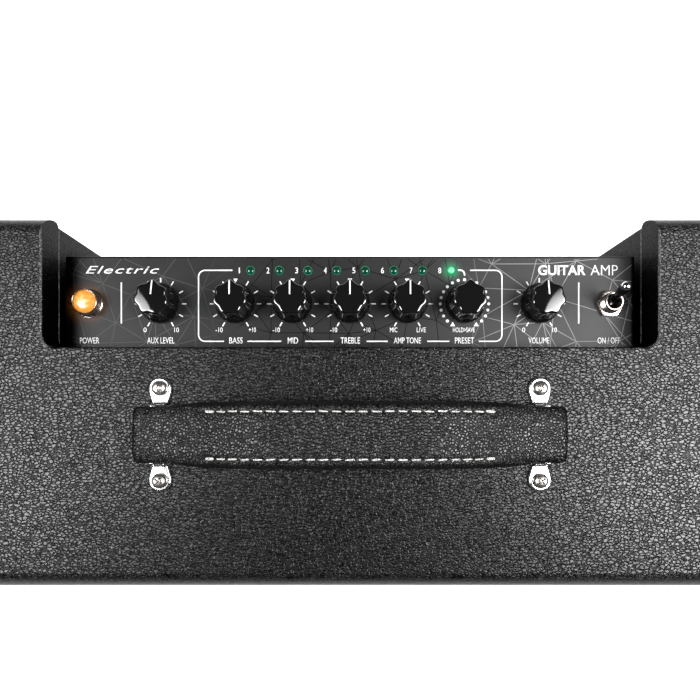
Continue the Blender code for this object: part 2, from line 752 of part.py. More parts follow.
def make_horn(plastic, metal):
    """A flared horn with a rectangular mouth and a round throat, and its driver."""
    count = 24

    def square_ring(half_x, half_z, y):
        ring = []
        for i in range(count):
            a = 2 * math.pi * (i + 0.5) / count
            reach = max(abs(math.cos(a)), abs(math.sin(a)))
            ring.append((half_x * math.cos(a) / reach, y, half_z * math.sin(a) / reach))
        return ring

    def round_ring(radius, y):
        angles = [2 * math.pi * (i + 0.5) / count for i in range(count)]
        return [(radius * math.cos(a), y, radius * math.sin(a)) for a in angles]

    rings = [
        square_ring(0.070, 0.046, 0),
        square_ring(0.070, 0.046, 0.003),
        square_ring(0.058, 0.036, 0.003),
        square_ring(0.036, 0.025, 0.020),
        round_ring(0.018, 0.036),
        round_ring(0.0127, 0.036),
        square_ring(0.030, 0.020, 0.018),
        square_ring(0.054, 0.033, 0),
    ]
    place = (0, SPEAKER_Y, HORN_Z)
    add("horn", loft(rings, closed=True), plastic, place)
    driver = [(0, 0.0363), (0.026, 0.0363), (0.038, 0.042), (0.038, 0.066), (0.032, 0.070), (0, 0.070)]
    add("horn_driver", facing_rear(turned(driver, 24)), metal, place)


# ---------------------------------------------------------------- assembly


def main():
    clear_scene()
    covering = material("covering", (0.028, 0.028, 0.030), 0.55)
    bare_wood = material("bare_wood", (0.45, 0.32, 0.19), 0.7)
    black_wood = material("black_wood", (0.02, 0.02, 0.02), 0.7)
    cloth = material("grille_cloth", (0.03, 0.03, 0.032), 0.9)
    rubber = material("rubber", (0.02, 0.02, 0.02), 0.8)
    leather = material("leather", (0.022, 0.022, 0.024), 0.5)
    steel = material("steel", (0.55, 0.55, 0.56), 0.35, 1.0)
    chrome = material("chrome", (0.8, 0.8, 0.82), 0.12, 1.0)
    painted = material("painted_steel", (0.035, 0.036, 0.038), 0.45, 0.2)
    plastic = material("black_plastic", (0.012, 0.012, 0.013), 0.2)
    circuit = material("circuit_board", (0.03, 0.16, 0.07), 0.5)
    pipe = material("light_pipe", (0.10, 0.55, 0.30), 0.2, glow=0.5)
    amber = material("amber_lens", (1.0, 0.55, 0.15), 0.1, glow=2.0)
    paper = material("cone_paper", (0.03, 0.03, 0.03), 0.9)
    iron = material("magnet_steel", (0.25, 0.25, 0.26), 0.5, 1.0)
    aluminium = material("aluminium", (0.6, 0.6, 0.62), 0.4, 1.0)

    make_top_board(covering)
    make_bottom_board(covering)
    make_side_boards(covering)
    make_recess(covering, bare_wood)
    make_back_panel(covering)
    make_front(bare_wood, black_wood, cloth)
    make_feet(rubber)
    make_handle(leather, steel, chrome)
    make_handle_screws(chrome)
    make_chassis(painted)
    make_control_board(circuit)
    make_knobs(plastic, steel)
    make_light_pipe(pipe)
    make_lamp(chrome, amber)
    make_toggle(plastic, chrome)
    make_rear(painted, aluminium, plastic)
    make_woofer(painted, iron, paper, rubber)
    make_horn(plastic, iron)


main()
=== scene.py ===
"""The looks of a compact guitar amplifier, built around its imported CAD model.

Units are metres, in the CAD model's own frame: +X to the right as seen from the front, +Y to the rear, +Z up.
"""

import math
import random

import bmesh
import bpy
from mathutils import Matrix, Vector


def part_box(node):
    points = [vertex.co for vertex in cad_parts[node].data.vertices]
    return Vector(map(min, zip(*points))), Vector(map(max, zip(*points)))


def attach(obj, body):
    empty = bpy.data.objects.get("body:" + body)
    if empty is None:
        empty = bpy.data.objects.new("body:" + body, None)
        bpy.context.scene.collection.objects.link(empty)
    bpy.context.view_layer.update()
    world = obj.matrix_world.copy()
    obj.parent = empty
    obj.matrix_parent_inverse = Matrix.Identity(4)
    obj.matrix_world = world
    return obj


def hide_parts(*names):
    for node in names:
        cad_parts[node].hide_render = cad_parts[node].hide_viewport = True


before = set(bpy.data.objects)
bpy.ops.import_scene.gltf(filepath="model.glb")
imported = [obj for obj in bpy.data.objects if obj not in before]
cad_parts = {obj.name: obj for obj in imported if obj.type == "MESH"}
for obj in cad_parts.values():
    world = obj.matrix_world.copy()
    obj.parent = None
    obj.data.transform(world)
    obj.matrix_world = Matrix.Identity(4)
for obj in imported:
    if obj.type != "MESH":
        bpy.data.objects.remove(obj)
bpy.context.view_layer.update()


def middle(node):
    low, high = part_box(node)
    return (low + high) / 2


# Cabinet
HALF_WIDTH, REAR, TOP_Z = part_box("top_board")[1]
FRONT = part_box("top_board")[0].y
BOTTOM_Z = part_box("bottom_board")[0].z
INNER_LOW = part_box("bottom_board")[1].z
INNER_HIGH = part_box("top_board")[0].z
INNER_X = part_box("side_board_right")[0].x
NOTCH_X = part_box("control_bulkhead")[1].x
NOTCH_FRONT = REAR - 0.0749
CORNER_R = 0.012
RIM_ACROSS, RIM_DOWN = 0.0115, 0.019  # rounded long edges, horizontally and vertically
PROUD_FRONT, PROUD_REAR = 0.0014, 0.0024  # how far the padded covering stands out from the boards
CREASE_R = 0.0014  # tight edges, where the covering is folded over a cut

# Controls
PANEL_LOW, PANEL_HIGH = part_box("control_chassis")
PANEL_Z = PANEL_HIGH.z
KNOB_Y = middle("treble_shaft").y
KNOB_X = {
    name: middle(f"{name}_shaft").x
    for name in ("aux_level", "bass", "mid", "treble", "amp_tone", "preset", "volume")
}
KNOB_LIFT = 0.0015
KNOB_R = 0.0121
KNOB_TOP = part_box("treble_knob")[1].z
DOME, DOME_R = 0.00028, 0.0102  # a knob's top falls by DOME from its middle to a radius of DOME_R
SHOULDER = 0.0016  # radius of the rounded edge of a knob's top
POINTER_DEG = {"aux_level": 6, "volume": -4}  # at rest, clockwise from straight back
PIPE_LOW, PIPE_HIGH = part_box("led_light_pipe")
LED_PITCH = (PIPE_HIGH.x - PIPE_LOW.x - 0.010) / 7
LED_X = [PIPE_LOW.x + 0.005 + LED_PITCH * i for i in range(8)]
LED_Y = (PIPE_LOW.y + PIPE_HIGH.y) / 2
LAMP_X = middle("lamp_bezel").x
TOGGLE_X = middle("toggle_nut").x
PRINT_LOW, PRINT_HIGH = 0.00004, 0.00009  # print on the panel, from its surface
LINE = 0.00075  # width of the printed lines
WEB_LOW, WEB_HIGH = 0.00001, 0.00003

# Handle
HANDLE_Y = middle("handle_strap").y
STRAP_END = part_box("handle_strap")[1].x + 0.0012
BRACKET_X = middle("handle_bracket_right").x
EAR_Y = middle("handle_screw_2").y - HANDLE_Y
EAR_WIDTH = 0.013
WAIST = 0.0086  # of a bracket's bar, between its ears
BAR_TOP = 0.0088
STRAP_RISE = 0.01525  # of its middle, above its ends
STRAP_HALF = 0.0158  # half the strap's width at its ends
STITCH_Y = 0.0126
STITCH_PITCH = 0.0069
ROW_END = 0.0775  # where the rows of stitches end


# ---------------------------------------------------------------- shapes


def rounded(corners, steps=8):
    """An outline from (x, y, radius) corners, with an arc wherever the radius isn't 0."""
    outline = []
    for index, (x, y, radius) in enumerate(corners):
        corner = Vector((x, y))
        if not radius:
            outline.append(corner)
            continue
        before = (Vector(corners[index - 1][:2]) - corner).normalized()
        after = (Vector(corners[(index + 1) % len(corners)][:2]) - corner).normalized()
        half = before.angle(after) / 2
        centre = corner + (before + after).normalized() * radius / math.sin(half)
        start = corner + before * radius / math.tan(half) - centre
        turn = (corner + after * radius / math.tan(half) - centre).angle_signed(start)
        for step in range(steps + 1):
            outline.append(centre + Matrix.Rotation(turn * step / steps, 2) @ start)
    return outline


def mirrored(half, flip_x=-1, flip_y=1):
    """(x, y, radius) corners with their mirror image after them, in reverse order."""
    return half + [(flip_x * x, flip_y * y, radius) for x, y, radius in reversed(half)]


def oblong(low, high, radius, steps=8):
    """A rounded rectangle between two corners."""
    (x0, y0), (x1, y1) = low, high
    return rounded([(x0, y0, radius), (x1, y0, radius), (x1, y1, radius), (x0, y1, radius)], steps)


def quarter_turn(steps):
    """Angles from 0 to 90 degrees."""
    return [math.radians(90) * step / steps for step in range(steps + 1)]


def loft(rings, closed=False):
    """Rings of points joined into one skin, with flat ends or as a closed loop. One point alone is a tip."""
    shape = bmesh.new()
    made = [[shape.verts.new(point) for point in ring] for ring in rings]
    for first, second in zip(made, made[1:] + made[:1] if closed else made[1:]):
        count = max(len(first), len(second))
        for i in range(count):
            j = (i + 1) % count
            loop = [first[i % len(first)], first[j % len(first)]]
            loop += [second[j % len(second)], second[i % len(second)]]
            shape.faces.new(list(dict.fromkeys(loop)))
    if not closed:
        for ring in (made[0], made[-1]):
            if len(ring) > 2:
                shape.faces.new(ring)
    bmesh.ops.recalc_face_normals(shape, faces=shape.faces)
    return shape


def layered(layers, normal="Z"):
    """A skin over outlines, each at its own level along X, Y or Z.

    An outline's two coordinates are the other two axes, in order.
    """
    axis = "XYZ".index(normal)
    rings = []
    for level, outline in layers:
        ring = [list(point) for point in outline]
        for place in ring:
            place.insert(axis, level)
        rings.append(ring)
    return loft(rings)


def prism(outline, low, high, normal="Z"):
    return layered([(low, outline), (high, outline)], normal)


def block(low, high):
    (x0, y0, z0), (x1, y1, z1) = low, high
    return prism([(x0, y0), (x1, y0), (x1, y1), (x0, y1)], z0, z1)


def circle(radius, height, count, shift=0.0):
    """Points round Z, the first one turned by a share of a step."""
    angles = [2 * math.pi * (i + shift) / count for i in range(count if radius else 1)]
    return [(radius * math.cos(a), radius * math.sin(a), height) for a in angles]


def turned(profile, count, closed=False):
    """A profile of (radius, height) turned about Z."""
    return loft([circle(radius, height, count) for radius, height in profile], closed)


def domed(radius, base, rise, degrees, fullness=0.8):
    """Profile points of a screw's or a lens's head."""
    angles = [math.radians(turn) for turn in degrees]
    return [(radius * math.cos(a) ** fullness, base + rise * math.sin(a)) for a in angles]


def rod(radius, low, high, count=32):
    return turned([(0, low), (radius, low), (radius, high), (0, high)], count)


def moved(shape, offset):
    bmesh.ops.translate(shape, vec=offset, verts=shape.verts)
    return shape


def spun(shape, degrees, axis="Z"):
    turn = Matrix.Rotation(math.radians(degrees), 3, axis)
    bmesh.ops.rotate(shape, matrix=turn, verts=shape.verts)
    return shape


def gather(shapes):
    """Several closed shapes as one bmesh."""
    whole = bmesh.new()
    for shape in shapes:
        mesh = bpy.data.meshes.new("gathered")
        shape.to_mesh(mesh)
        shape.free()
        whole.from_mesh(mesh)
        bpy.data.meshes.remove(mesh)
    return whole


def helper(shape, name):
    mesh = bpy.data.meshes.new(name)
    shape.to_mesh(mesh)
    shape.free()
    made = bpy.data.objects.new(name, mesh)
    bpy.context.scene.collection.objects.link(made)
    return made


def carve(shape, tool, operation="DIFFERENCE"):
    """The first shape with the second cut from it, joined to it or intersected with it."""
    base, cutter = helper(shape, "carved"), helper(tool, "cutter")
    modifier = base.modifiers.new("carve", "BOOLEAN")
    modifier.operation = operation
    modifier.solver = "EXACT"
    modifier.object = cutter
    bpy.context.view_layer.update()
    made = bmesh.new()
    made.from_object(base, bpy.context.evaluated_depsgraph_get())
    for used in (base, cutter):
        mesh = used.data
        bpy.data.objects.remove(used)
        bpy.data.meshes.remove(mesh)
    return made


def bevel(shape, edges, width, steps):
    settings = {"offset_type": "OFFSET", "profile": 0.5, "affect": "EDGES"}
    bmesh.ops.bevel(shape, geom=edges, offset=width, segments=steps, **settings)


def soften(shape, width, steps=2, sharper_than=30):
    """Rounds every edge that is sharper than so many degrees."""
    limit = math.radians(sharper_than)
    bevel(shape, [edge for edge in shape.edges if edge.calc_face_angle(0) > limit], width, steps)
    return shape


def cad_shape(node):
    """A CAD node's shape, with its triangles joined into whole flat faces."""
    shape = bmesh.new()
    shape.from_mesh(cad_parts[node].data)
    bmesh.ops.remove_doubles(shape, verts=shape.verts, dist=1e-6)
    bmesh.ops.dissolve_limit(shape, angle_limit=math.radians(1), verts=shape.verts, edges=shape.edges)
    return shape


def piece(name, shape, look, body="cabinet", replaces=(), smooth=35, even=False):
    """One visible piece, which rides on a body. Edges flatter than smooth, in degrees, are shaded round."""
    bmesh.ops.recalc_face_normals(shape, faces=shape.faces)
    made = helper(shape, name)
    if "custom_normal" in made.data.attributes:
        made.data.attributes.remove(made.data.attributes["custom_normal"])
    made.data.materials.clear()
    made.data.materials.append(look)
    made.data.shade_smooth()
    made.data.set_sharp_from_angle(angle=math.radians(smooth))
    if even:
        modifier = made.modifiers.new("even_shading", "WEIGHTED_NORMAL")
        modifier.keep_sharp = True
    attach(made, body)
    if replaces:
        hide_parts(*replaces)
    return made


# ---------------------------------------------------------------- materials


def grey(value):
    return (value, value, value)


class Look:
    """A procedural material while its nodes are joined up. Its patterns use object coordinates, in metres."""

    def __init__(self, name, colour, roughness, metallic=0.0, specular=0.5):
        self.material = bpy.data.materials.new(name)
        self.material.use_nodes = True
        self.tree = self.material.node_tree
        self.shader = self.tree.nodes["Principled BSDF"]
        self.set("Base Color", (*colour, 1))
        self.set("Roughness", roughness)
        self.set("Metallic", metallic)
        self.set("Specular IOR Level", specular)
        self.coords = self.node("ShaderNodeTexCoord").outputs["Object"]

    def set(self, socket, value):
        """Gives one of the shader's sockets a constant, or joins an output to it."""
        if isinstance(value, bpy.types.NodeSocket):
            self.tree.links.new(value, self.shader.inputs[socket])
        else:
            self.shader.inputs[socket].default_value = value

    def node(self, kind, inputs=None, **settings):
        made = self.tree.nodes.new(kind)
        for key, value in settings.items():
            setattr(made, key, value)
        for key, value in (inputs or {}).items():
            if isinstance(value, bpy.types.NodeSocket):
                self.tree.links.new(value, made.inputs[key])
            else:
                made.inputs[key].default_value = value
        return made

    def scaled(self, scale):
        return self.node("ShaderNodeMapping", {"Vector": self.coords, "Scale": scale}).outputs["Vector"]

    def noise(self, scale, detail=2.0, rough=0.5, coords=None, output="Fac"):
        inputs = {"Vector": coords or self.coords, "Scale": scale, "Detail": detail, "Roughness": rough}
        return self.node("ShaderNodeTexNoise", inputs).outputs[output]

    def cells(self, scale, feature="F1", coords=None):
        inputs = {"Vector": coords or self.coords, "Scale": scale}
        return self.node("ShaderNodeTexVoronoi", inputs, feature=feature).outputs["Distance"]

    def spread(self, value, low, high, to_low=0.0, to_high=1.0, smooth=False):
        """Maps low..high to to_low..to_high, and stops at the ends."""
        inputs = {"Value": value, "From Min": low, "From Max": high, "To Min": to_low, "To Max": to_high}
        kind = "SMOOTHSTEP" if smooth else "LINEAR"
        return self.node("ShaderNodeMapRange", inputs, interpolation_type=kind).outputs["Result"]

    def math(self, operation, first, second=0.0):
        return self.node("ShaderNodeMath", {0: first, 1: second}, operation=operation).outputs[0]

    def vector(self, operation, first, second):
        made = self.node("ShaderNodeVectorMath", {0: first, 1: second}, operation=operation)
        return made.outputs["Value" if operation == "DISTANCE" else "Vector"]

    def warped(self, coords, scale, amount):
        """Coordinates pushed about by a noise."""
        push = self.vector("SUBTRACT", self.noise(scale, coords=coords, output="Color"), grey(0.5))
        return self.vector("ADD", coords, self.vector("MULTIPLY", push, grey(amount)))

    def blend(self, factor, first, second):
        """A colour between two colours."""
        inputs = {0: factor, 6: first, 7: second}
        for key in (6, 7):
            if not isinstance(inputs[key], bpy.types.NodeSocket):
                inputs[key] = (*inputs[key], 1)
        return self.node("ShaderNodeMix", inputs, data_type="RGBA").outputs[2]

    def along(self, axis):
        return self.node("ShaderNodeSeparateXYZ", {"Vector": self.coords}).outputs[axis]

    def bump(self, height, depth):
        inputs = {"Height": height, "Distance": depth, "Strength": 1.0}
        self.set("Normal", self.node("ShaderNodeBump", inputs).outputs["Normal"])

    def rough(self, pattern, low, high):
        """Lets the roughness waver between two values with a noise."""
        self.set("Roughness", self.spread(pattern, 0.3, 0.7, low, high))

    def paint(self, pattern, first, second):
        """Blends the base colour between two colours."""
        self.set("Base Color", self.blend(pattern, first, second))


def covering_look(name="covering", low=0.0003, high=0.003, specular=0.64, painted_shade=False):
    """Black vinyl with a wrinkled, pebbled grain, drawn out a little along the cabinet.

    low and high are its base colour in the creases and on the pebbles. In its shaded copy, painted
    shade darkens it away from the cabinet's rear.
    """
    look = Look(name, grey(high), 0.4, specular=specular)
    stretched = look.scaled((400.0, 640.0, 640.0))
    bent = look.warped(stretched, 0.7, 1.2)
    pebble = look.spread(look.cells(1.0, "DISTANCE_TO_EDGE", bent), 0.0, 0.20, smooth=True)
    waves = look.noise(1.1, 2.0, 0.5, look.warped(stretched, 0.5, 1.0))
    folds = look.noise(0.45, 1.0, 0.5, stretched)
    fine = look.noise(3.0, 2.0, 0.5, stretched)
    height = look.math("ADD", look.math("MULTIPLY", pebble, 0.7), look.math("MULTIPLY", fine, 0.1))
    height = look.math("ADD", height, look.math("MULTIPLY", look.math("ADD", waves, folds), 0.7))
    look.bump(height, 0.00021)
    # Painted shade in the grain's creases: their reflections are dimmed, and their darker base colour is
    # partly the vinyl's own tone and partly painted shade.
    look.set("Specular Tint", look.blend(pebble, grey(0.25), grey(1)))
    colour = look.blend(pebble, grey(low), (high, high, 1.04 * high))
    # Painted shade: the shaded copy goes black towards the front of the notch.
    if painted_shade:
        depth = look.spread(look.along("Y"), REAR - 0.024, REAR - 0.008, smooth=True)
        colour = look.blend(depth, grey(0.0003), colour)
    look.set("Base Color", colour)
    look.rough(fine, 0.29, 0.37)
    return look.material


def leather_look():
    """Fine, even-grained black leather, with painted shade that dims its reflections along its rounded sides
    and ends.
    """
    look = Look("leather", (0.01, 0.01, 0.0105), 0.42, specular=1.0)
    bent = look.warped(look.coords, 300.0, 0.0010)
    grain = look.spread(look.cells(620.0, "DISTANCE_TO_EDGE", bent), 0.0, 0.30, smooth=True)
    across = look.math("ABSOLUTE", look.math("SUBTRACT", look.along("Y"), HANDLE_Y))
    side = look.spread(across, 0.0140, 0.0168, smooth=True)
    outwards = look.math("ABSOLUTE", look.along("X"))
    end = look.spread(outwards, STRAP_END - 0.0050, STRAP_END - 0.0012, smooth=True)
    edge = look.math("MAXIMUM", side, end)
    wear = look.noise(30.0, 3.0)
    height = look.math("ADD", grain, look.math("MULTIPLY", look.noise(1500.0, 2.0), 0.12))
    look.bump(height, 0.00024)
    # Painted shade: reflections are dimmed in the grain's creases and more along the strap's sides and ends;
    # the creases' darker base colour is partly the leather's own tone and partly painted shade.
    tint = look.blend(grain, grey(0.2), grey(1))
    look.set("Specular Tint", look.blend(edge, tint, grey(0.08)))
    look.paint(grain, grey(0.0004), look.blend(wear, grey(0.003), grey(0.005)))
    look.rough(look.noise(900.0), 0.36, 0.44)
    return look.material


def thread_look():
    """White twisted sewing thread."""
    look = Look("thread", (0.78, 0.77, 0.75), 0.75)
    inputs = {"Vector": look.coords, "Scale": 500.0}
    wave = look.node("ShaderNodeTexWave", inputs, bands_direction="DIAGONAL")
    look.bump(wave.outputs["Fac"], 0.0002)
    look.paint(look.noise(900.0), (0.62, 0.61, 0.59), (0.86, 0.85, 0.83))
    return look.material


def panel_dark(look, x):
    """How deep a point lies in painted shade beside the notch's walls and along the panel's rear edge."""
    left = look.spread(x, 0.0110 - PANEL_HIGH.x, 0.0030 - PANEL_HIGH.x, smooth=True)
    right = look.spread(x, PANEL_HIGH.x - 0.0032, PANEL_HIGH.x - 0.0008, smooth=True)
    rear = look.spread(look.along("Y"), PANEL_HIGH.y - 0.0012, PANEL_HIGH.y - 0.0004, smooth=True)
    return look.math("MAXIMUM", rear, look.math("MAXIMUM", left, right))


def panel_look():
    """Satin black paint, lighter towards its right end, with a painted glow of the lamp and the lit lens on
    it.
    """
    look = Look("panel_paint", (0.04, 0.041, 0.042), 0.36, specular=0.25)
    x = look.along("X")
    dark = panel_dark(look, x)
    # Lighter towards the right end: partly painted light from the right-hand lamp and partly a gradient in
    # the panel's own print.
    across = look.spread(x, -0.02, 0.13, smooth=True)
    paint = look.blend(across, (0.012, 0.0122, 0.0125), (0.045, 0.0455, 0.046))
    paint = look.blend(look.noise(1500.0), paint, look.blend(look.noise(40.0), paint, grey(0.03)))
    # Painted shade beside the notch's walls and along the rear edge: the base colour goes black and the
    # reflections dim.
    look.paint(dark, paint, grey(0.0004))
    look.set("Specular Tint", look.blend(dark, grey(1), grey(0.05)))
    look.rough(look.noise(700.0, 3.0), 0.33, 0.43)
    look.bump(look.noise(2600.0, 2.0), 0.00002)
    # Painted light: pools of green and amber glow from the lit lens and the lamp, painted on the panel as
    # emission.
    lit = look.vector("DISTANCE", look.coords, (LED_X[-1], LED_Y, PANEL_Z))
    lamp = look.vector("DISTANCE", look.coords, (LAMP_X - 0.001, KNOB_Y, PANEL_Z))
    green = look.math("POWER", look.spread(lit, 0.002, 0.009, 1.0, 0.0), 2.2)
    warm = look.math("POWER", look.spread(lamp, 0.006, 0.018, 1.0, 0.0), 3.0)
    green = look.blend(green, grey(0), (0.02, 0.30, 0.12))
    warm = look.blend(warm, grey(0), (0.16, 0.06, 0.01))
    look.set("Emission Color", look.vector("ADD", green, warm))
    look.set("Emission Strength", 1.0)
    return look.material


def web_look():
    """Thin printed lines: grey at the left, black in the middle, and paler at the right."""
    look = Look("web_print", grey(0.1), 0.5, specular=0.12)
    x = look.along("X")
    left = look.blend(look.spread(x, -0.11, -0.05, smooth=True), grey(0.075), grey(0.0003))
    both = look.blend(look.spread(x, 0.055, 0.10, smooth=True), left, grey(0.27))
    # Painted shade beside the notch's walls and along the panel's rear edge.
    look.paint(panel_dark(look, x), both, grey(0.0004))
    look.rough(look.noise(900.0), 0.42, 0.55)
    return look.material


def print_look():
    """White screen-printing ink."""
    look = Look("white_print", grey(0.85), 0.5)
    look.paint(look.noise(1200.0, 3.0), grey(0.80), grey(0.90))
    look.rough(look.noise(700.0), 0.45, 0.6)
    return look.material


def plastic_look(name, colour, low, high, depth=0.00001, specular=0.5):
    """Moulded plastic: its gloss wavers between two roughness values."""
    look = Look(name, colour, (low + high) / 2, specular=specular)
    darker = tuple(0.7 * c for c in colour)
    look.paint(look.noise(120.0, 3.0), darker, colour)
    look.rough(look.noise(160.0, 4.0), low, high)
    look.bump(look.noise(2200.0, 2.0), depth)
    return look.material


def gloss_look():
    """Polished black plastic: clear gloss on top of the knobs, and painted shade that dims the reflections
    down their sides.
    """
    look = Look("gloss_black", (0.004, 0.004, 0.0045), 0.08, specular=1.0)
    look.set("IOR", 1.68)
    height = look.spread(look.along("Z"), KNOB_TOP - 0.0042, KNOB_TOP - 0.0014, smooth=True)
    # Painted shade: the reflections down the knobs' sides are dimmed.
    look.set("Specular Tint", look.blend(height, grey(0.12), grey(1)))
    look.rough(look.noise(160.0, 4.0), 0.03, 0.05)
    look.bump(look.noise(2200.0, 2.0), 0.000002)
    return look.material


def metal_look(name, colour, low, high):
    """Metal with fine marks in its polish."""
    look = Look(name, colour, (low + high) / 2, metallic=1.0)
    darker = tuple(0.88 * c for c in colour)
    look.paint(look.noise(100.0, 3.0), darker, colour)
    look.rough(look.noise(300.0, 4.0, 0.6), low, high)
    look.bump(look.noise(1800.0, 3.0), 0.000008)
    return look.material


def wood_look(name, pale, dark):
    """Plywood, with its grain along X."""
    look = Look(name, pale, 0.7)
    grain = look.noise(1.0, 4.0, 0.6, look.warped(look.scaled((12.0, 220.0, 220.0)), 0.4, 1.5))
    look.paint(look.spread(grain, 0.3, 0.7), dark, pale)
    look.bump(grain, 0.0002)
    return look.material


def cloth_look():
    """Black woven grille cloth: two sets of threads that pass over and under each other."""
    look = Look("grille_weave", grey(0.02), 0.85)
    pitch = 2 * math.pi / 0.0016
    x = look.math("SINE", look.math("MULTIPLY", look.along("X"), pitch))
    z = look.math("SINE", look.math("MULTIPLY", look.along("Z"), pitch))
    weave = look.spread(look.math("MULTIPLY", x, z), -1.0, 1.0)
    fuzz = look.noise(1500.0, 3.0)
    look.bump(look.math("ADD", weave, look.math("MULTIPLY", fuzz, 0.3)), 0.00035)
    look.paint(weave, grey(0.006), (0.035, 0.035, 0.036))
    look.rough(fuzz, 0.75, 0.95)
    return look.material


def lens_look(name, colour, glow=0, core=None):
    """A moulded lens. A lit one is palest at the middle of its dome."""
    look = Look(name, colour, 0.14)
    cloud = look.noise(500.0, 2.0)
    look.paint(cloud, tuple(0.6 * c for c in colour), colour)
    look.rough(cloud, 0.10, 0.18)
    look.set("Coat Weight", 0.25)
    if glow:
        away = look.vector("DISTANCE", look.coords, (LED_X[-1], LED_Y, PANEL_Z + 0.0015))
        look.set("Emission Color", look.blend(look.spread(away, 0.0006, 0.0024), core, colour))
        look.set("Emission Strength", glow)
    return look.material


def jewel_look():
    """The lit amber jewel: a pale core, mottled through its facets, and an orange edge."""
    look = Look("amber_jewel", (0.30, 0.11, 0.015), 0.12)
    heart = (LAMP_X + 0.0002, KNOB_Y - 0.0004, PANEL_Z + 0.009)
    away = look.vector("DISTANCE", look.coords, heart)
    spots = look.math("SUBTRACT", look.cells(520.0), 0.5)
    cloud = look.math("SUBTRACT", look.noise(420.0, 3.0), 0.5)
    mottle = look.math("ADD", look.math("MULTIPLY", spots, 0.0045), look.math("MULTIPLY", cloud, 0.006))
    away = look.math("ADD", away, mottle)
    inner = look.blend(look.spread(away, 0.0004, 0.0030), (0.97, 0.92, 0.58), (0.84, 0.52, 0.15))
    look.set("Emission Color", look.blend(look.spread(away, 0.0028, 0.0066), inner, (0.66, 0.26, 0.035)))
    look.set("Emission Strength", 0.86)
    look.set("Roughness", look.spread(cloud, -0.2, 0.2, 0.08, 0.16))
    look.set("Coat Weight", 0.4)
    return look.material


def circuit_look():
    look = Look("circuit_board", (0.02, 0.12, 0.05), 0.45)
    tracks = look.spread(look.cells(260.0, "DISTANCE_TO_EDGE"), 0.05, 0.12)
    look.paint(tracks, (0.05, 0.22, 0.10), (0.015, 0.10, 0.045))
    return look.material


def make_looks():
    return {
        "covering": covering_look(),
        # A copy of the vinyl with painted shade, for the notch's walls, the cheeks and the shelf.
        "shade": covering_look("covering_painted_shade", 0.001, 0.016, 0.03, True),
        # A lighter copy of the vinyl: a painted highlight along the notch's rounded top edge and the cheeks'
        # bevels.
        "edge": covering_look("covering_painted_highlight", 0.04, 0.12),
        "leather": leather_look(),
        "thread": thread_look(),
        "panel": panel_look(),
        "web": web_look(),
        "print": print_look(),
        "gloss": gloss_look(),
        "lever": plastic_look("lever_black", (0.003, 0.003, 0.0035), 0.12, 0.18, 0.000002, 0.25),
        "screw": metal_look("screw_steel", (0.66, 0.63, 0.60), 0.28, 0.40),
        "plastic": plastic_look("black_plastic", (0.02, 0.02, 0.021), 0.30, 0.42, 0.00003),
        "rubber": plastic_look("rubber", grey(0.016), 0.65, 0.85, 0.00006),
        "paper": plastic_look("cone_paper", (0.03, 0.03, 0.031), 0.8, 0.95, 0.0002),
        "chrome": metal_look("chrome", (0.90, 0.90, 0.91), 0.05, 0.10),
        "steel": metal_look("steel", (0.58, 0.58, 0.60), 0.25, 0.4),
        "iron": metal_look("magnet_steel", (0.30, 0.30, 0.31), 0.4, 0.6),
        "aluminium": metal_look("aluminium", (0.62, 0.62, 0.64), 0.32, 0.48),
        "painted": plastic_look("painted_steel", (0.035, 0.036, 0.038), 0.38, 0.52, 0.00004),
        "bare_wood": wood_look("bare_wood", (0.50, 0.36, 0.21), (0.30, 0.19, 0.10)),
        "black_wood": wood_look("black_wood", grey(0.022), grey(0.010)),
        "cloth": cloth_look(),
        "green": lens_look("green_lens", (0.002, 0.05, 0.022)),
        "lit": lens_look("lit_lens", (0.02, 0.42, 0.14), 0.75, (0.40, 0.95, 0.60)),
        # Lighter green rings: a painted highlight for the light caught in the lenses' edges.
        "rim": plastic_look("lens_rim_painted_highlight", (0.006, 0.17, 0.10), 0.3, 0.45, specular=0.25),
        "bracket": metal_look("bracket_steel", (0.90, 0.90, 0.89), 0.12, 0.17),
        "warm": metal_look("warm_chrome", (0.66, 0.60, 0.56), 0.18, 0.28),
        "jewel": jewel_look(),
        "circuit": circuit_look(),
    }


# ---------------------------------------------------------------- studio


def make_camera():
    """Straight above the rear half of the cabinet, with the picture's top towards +Y."""
    data = bpy.data.cameras.new("camera")
    data.lens = 29.16
    data.shift_y = 0.103
    camera = bpy.data.objects.new("camera", data)
    camera.location = (0, REAR - 0.118, TOP_Z + 0.324)
    bpy.context.scene.collection.objects.link(camera)
    bpy.context.scene.camera = camera


def softbox(name, place, target, across, power):
    """A round softbox with a grid over it, so that its light falls off away from the target."""
    data = bpy.data.lights.new(name, "AREA")
    data.shape = "DISK"
    data.size = across
    data.spread = math.radians(52)
    data.energy = power
    light = bpy.data.objects.new(name, data)
    light.location = place
    light.rotation_euler = (Vector(target) - Vector(place)).to_track_quat("-Z", "Y").to_euler()
    light.visible_camera = False
    bpy.context.scene.collection.objects.link(light)


def make_floor():
    """A white floor that gives off some light of its own."""
    half = 4.0
    corners = ((-half, -half, 0), (half, -half, 0), (half, half, 0), (-half, half, 0))
    shape = bmesh.new()
    shape.faces.new([shape.verts.new(corner) for corner in corners])
    floor = helper(shape, "floor")
    look = Look("floor", grey(0.9), 0.8)
    look.paint(look.noise(3.0), grey(0.88), grey(0.92))
    look.set("Emission Color", (*grey(1), 1))
    look.set("Emission Strength", 0.9)
    floor.data.materials.append(look.material)


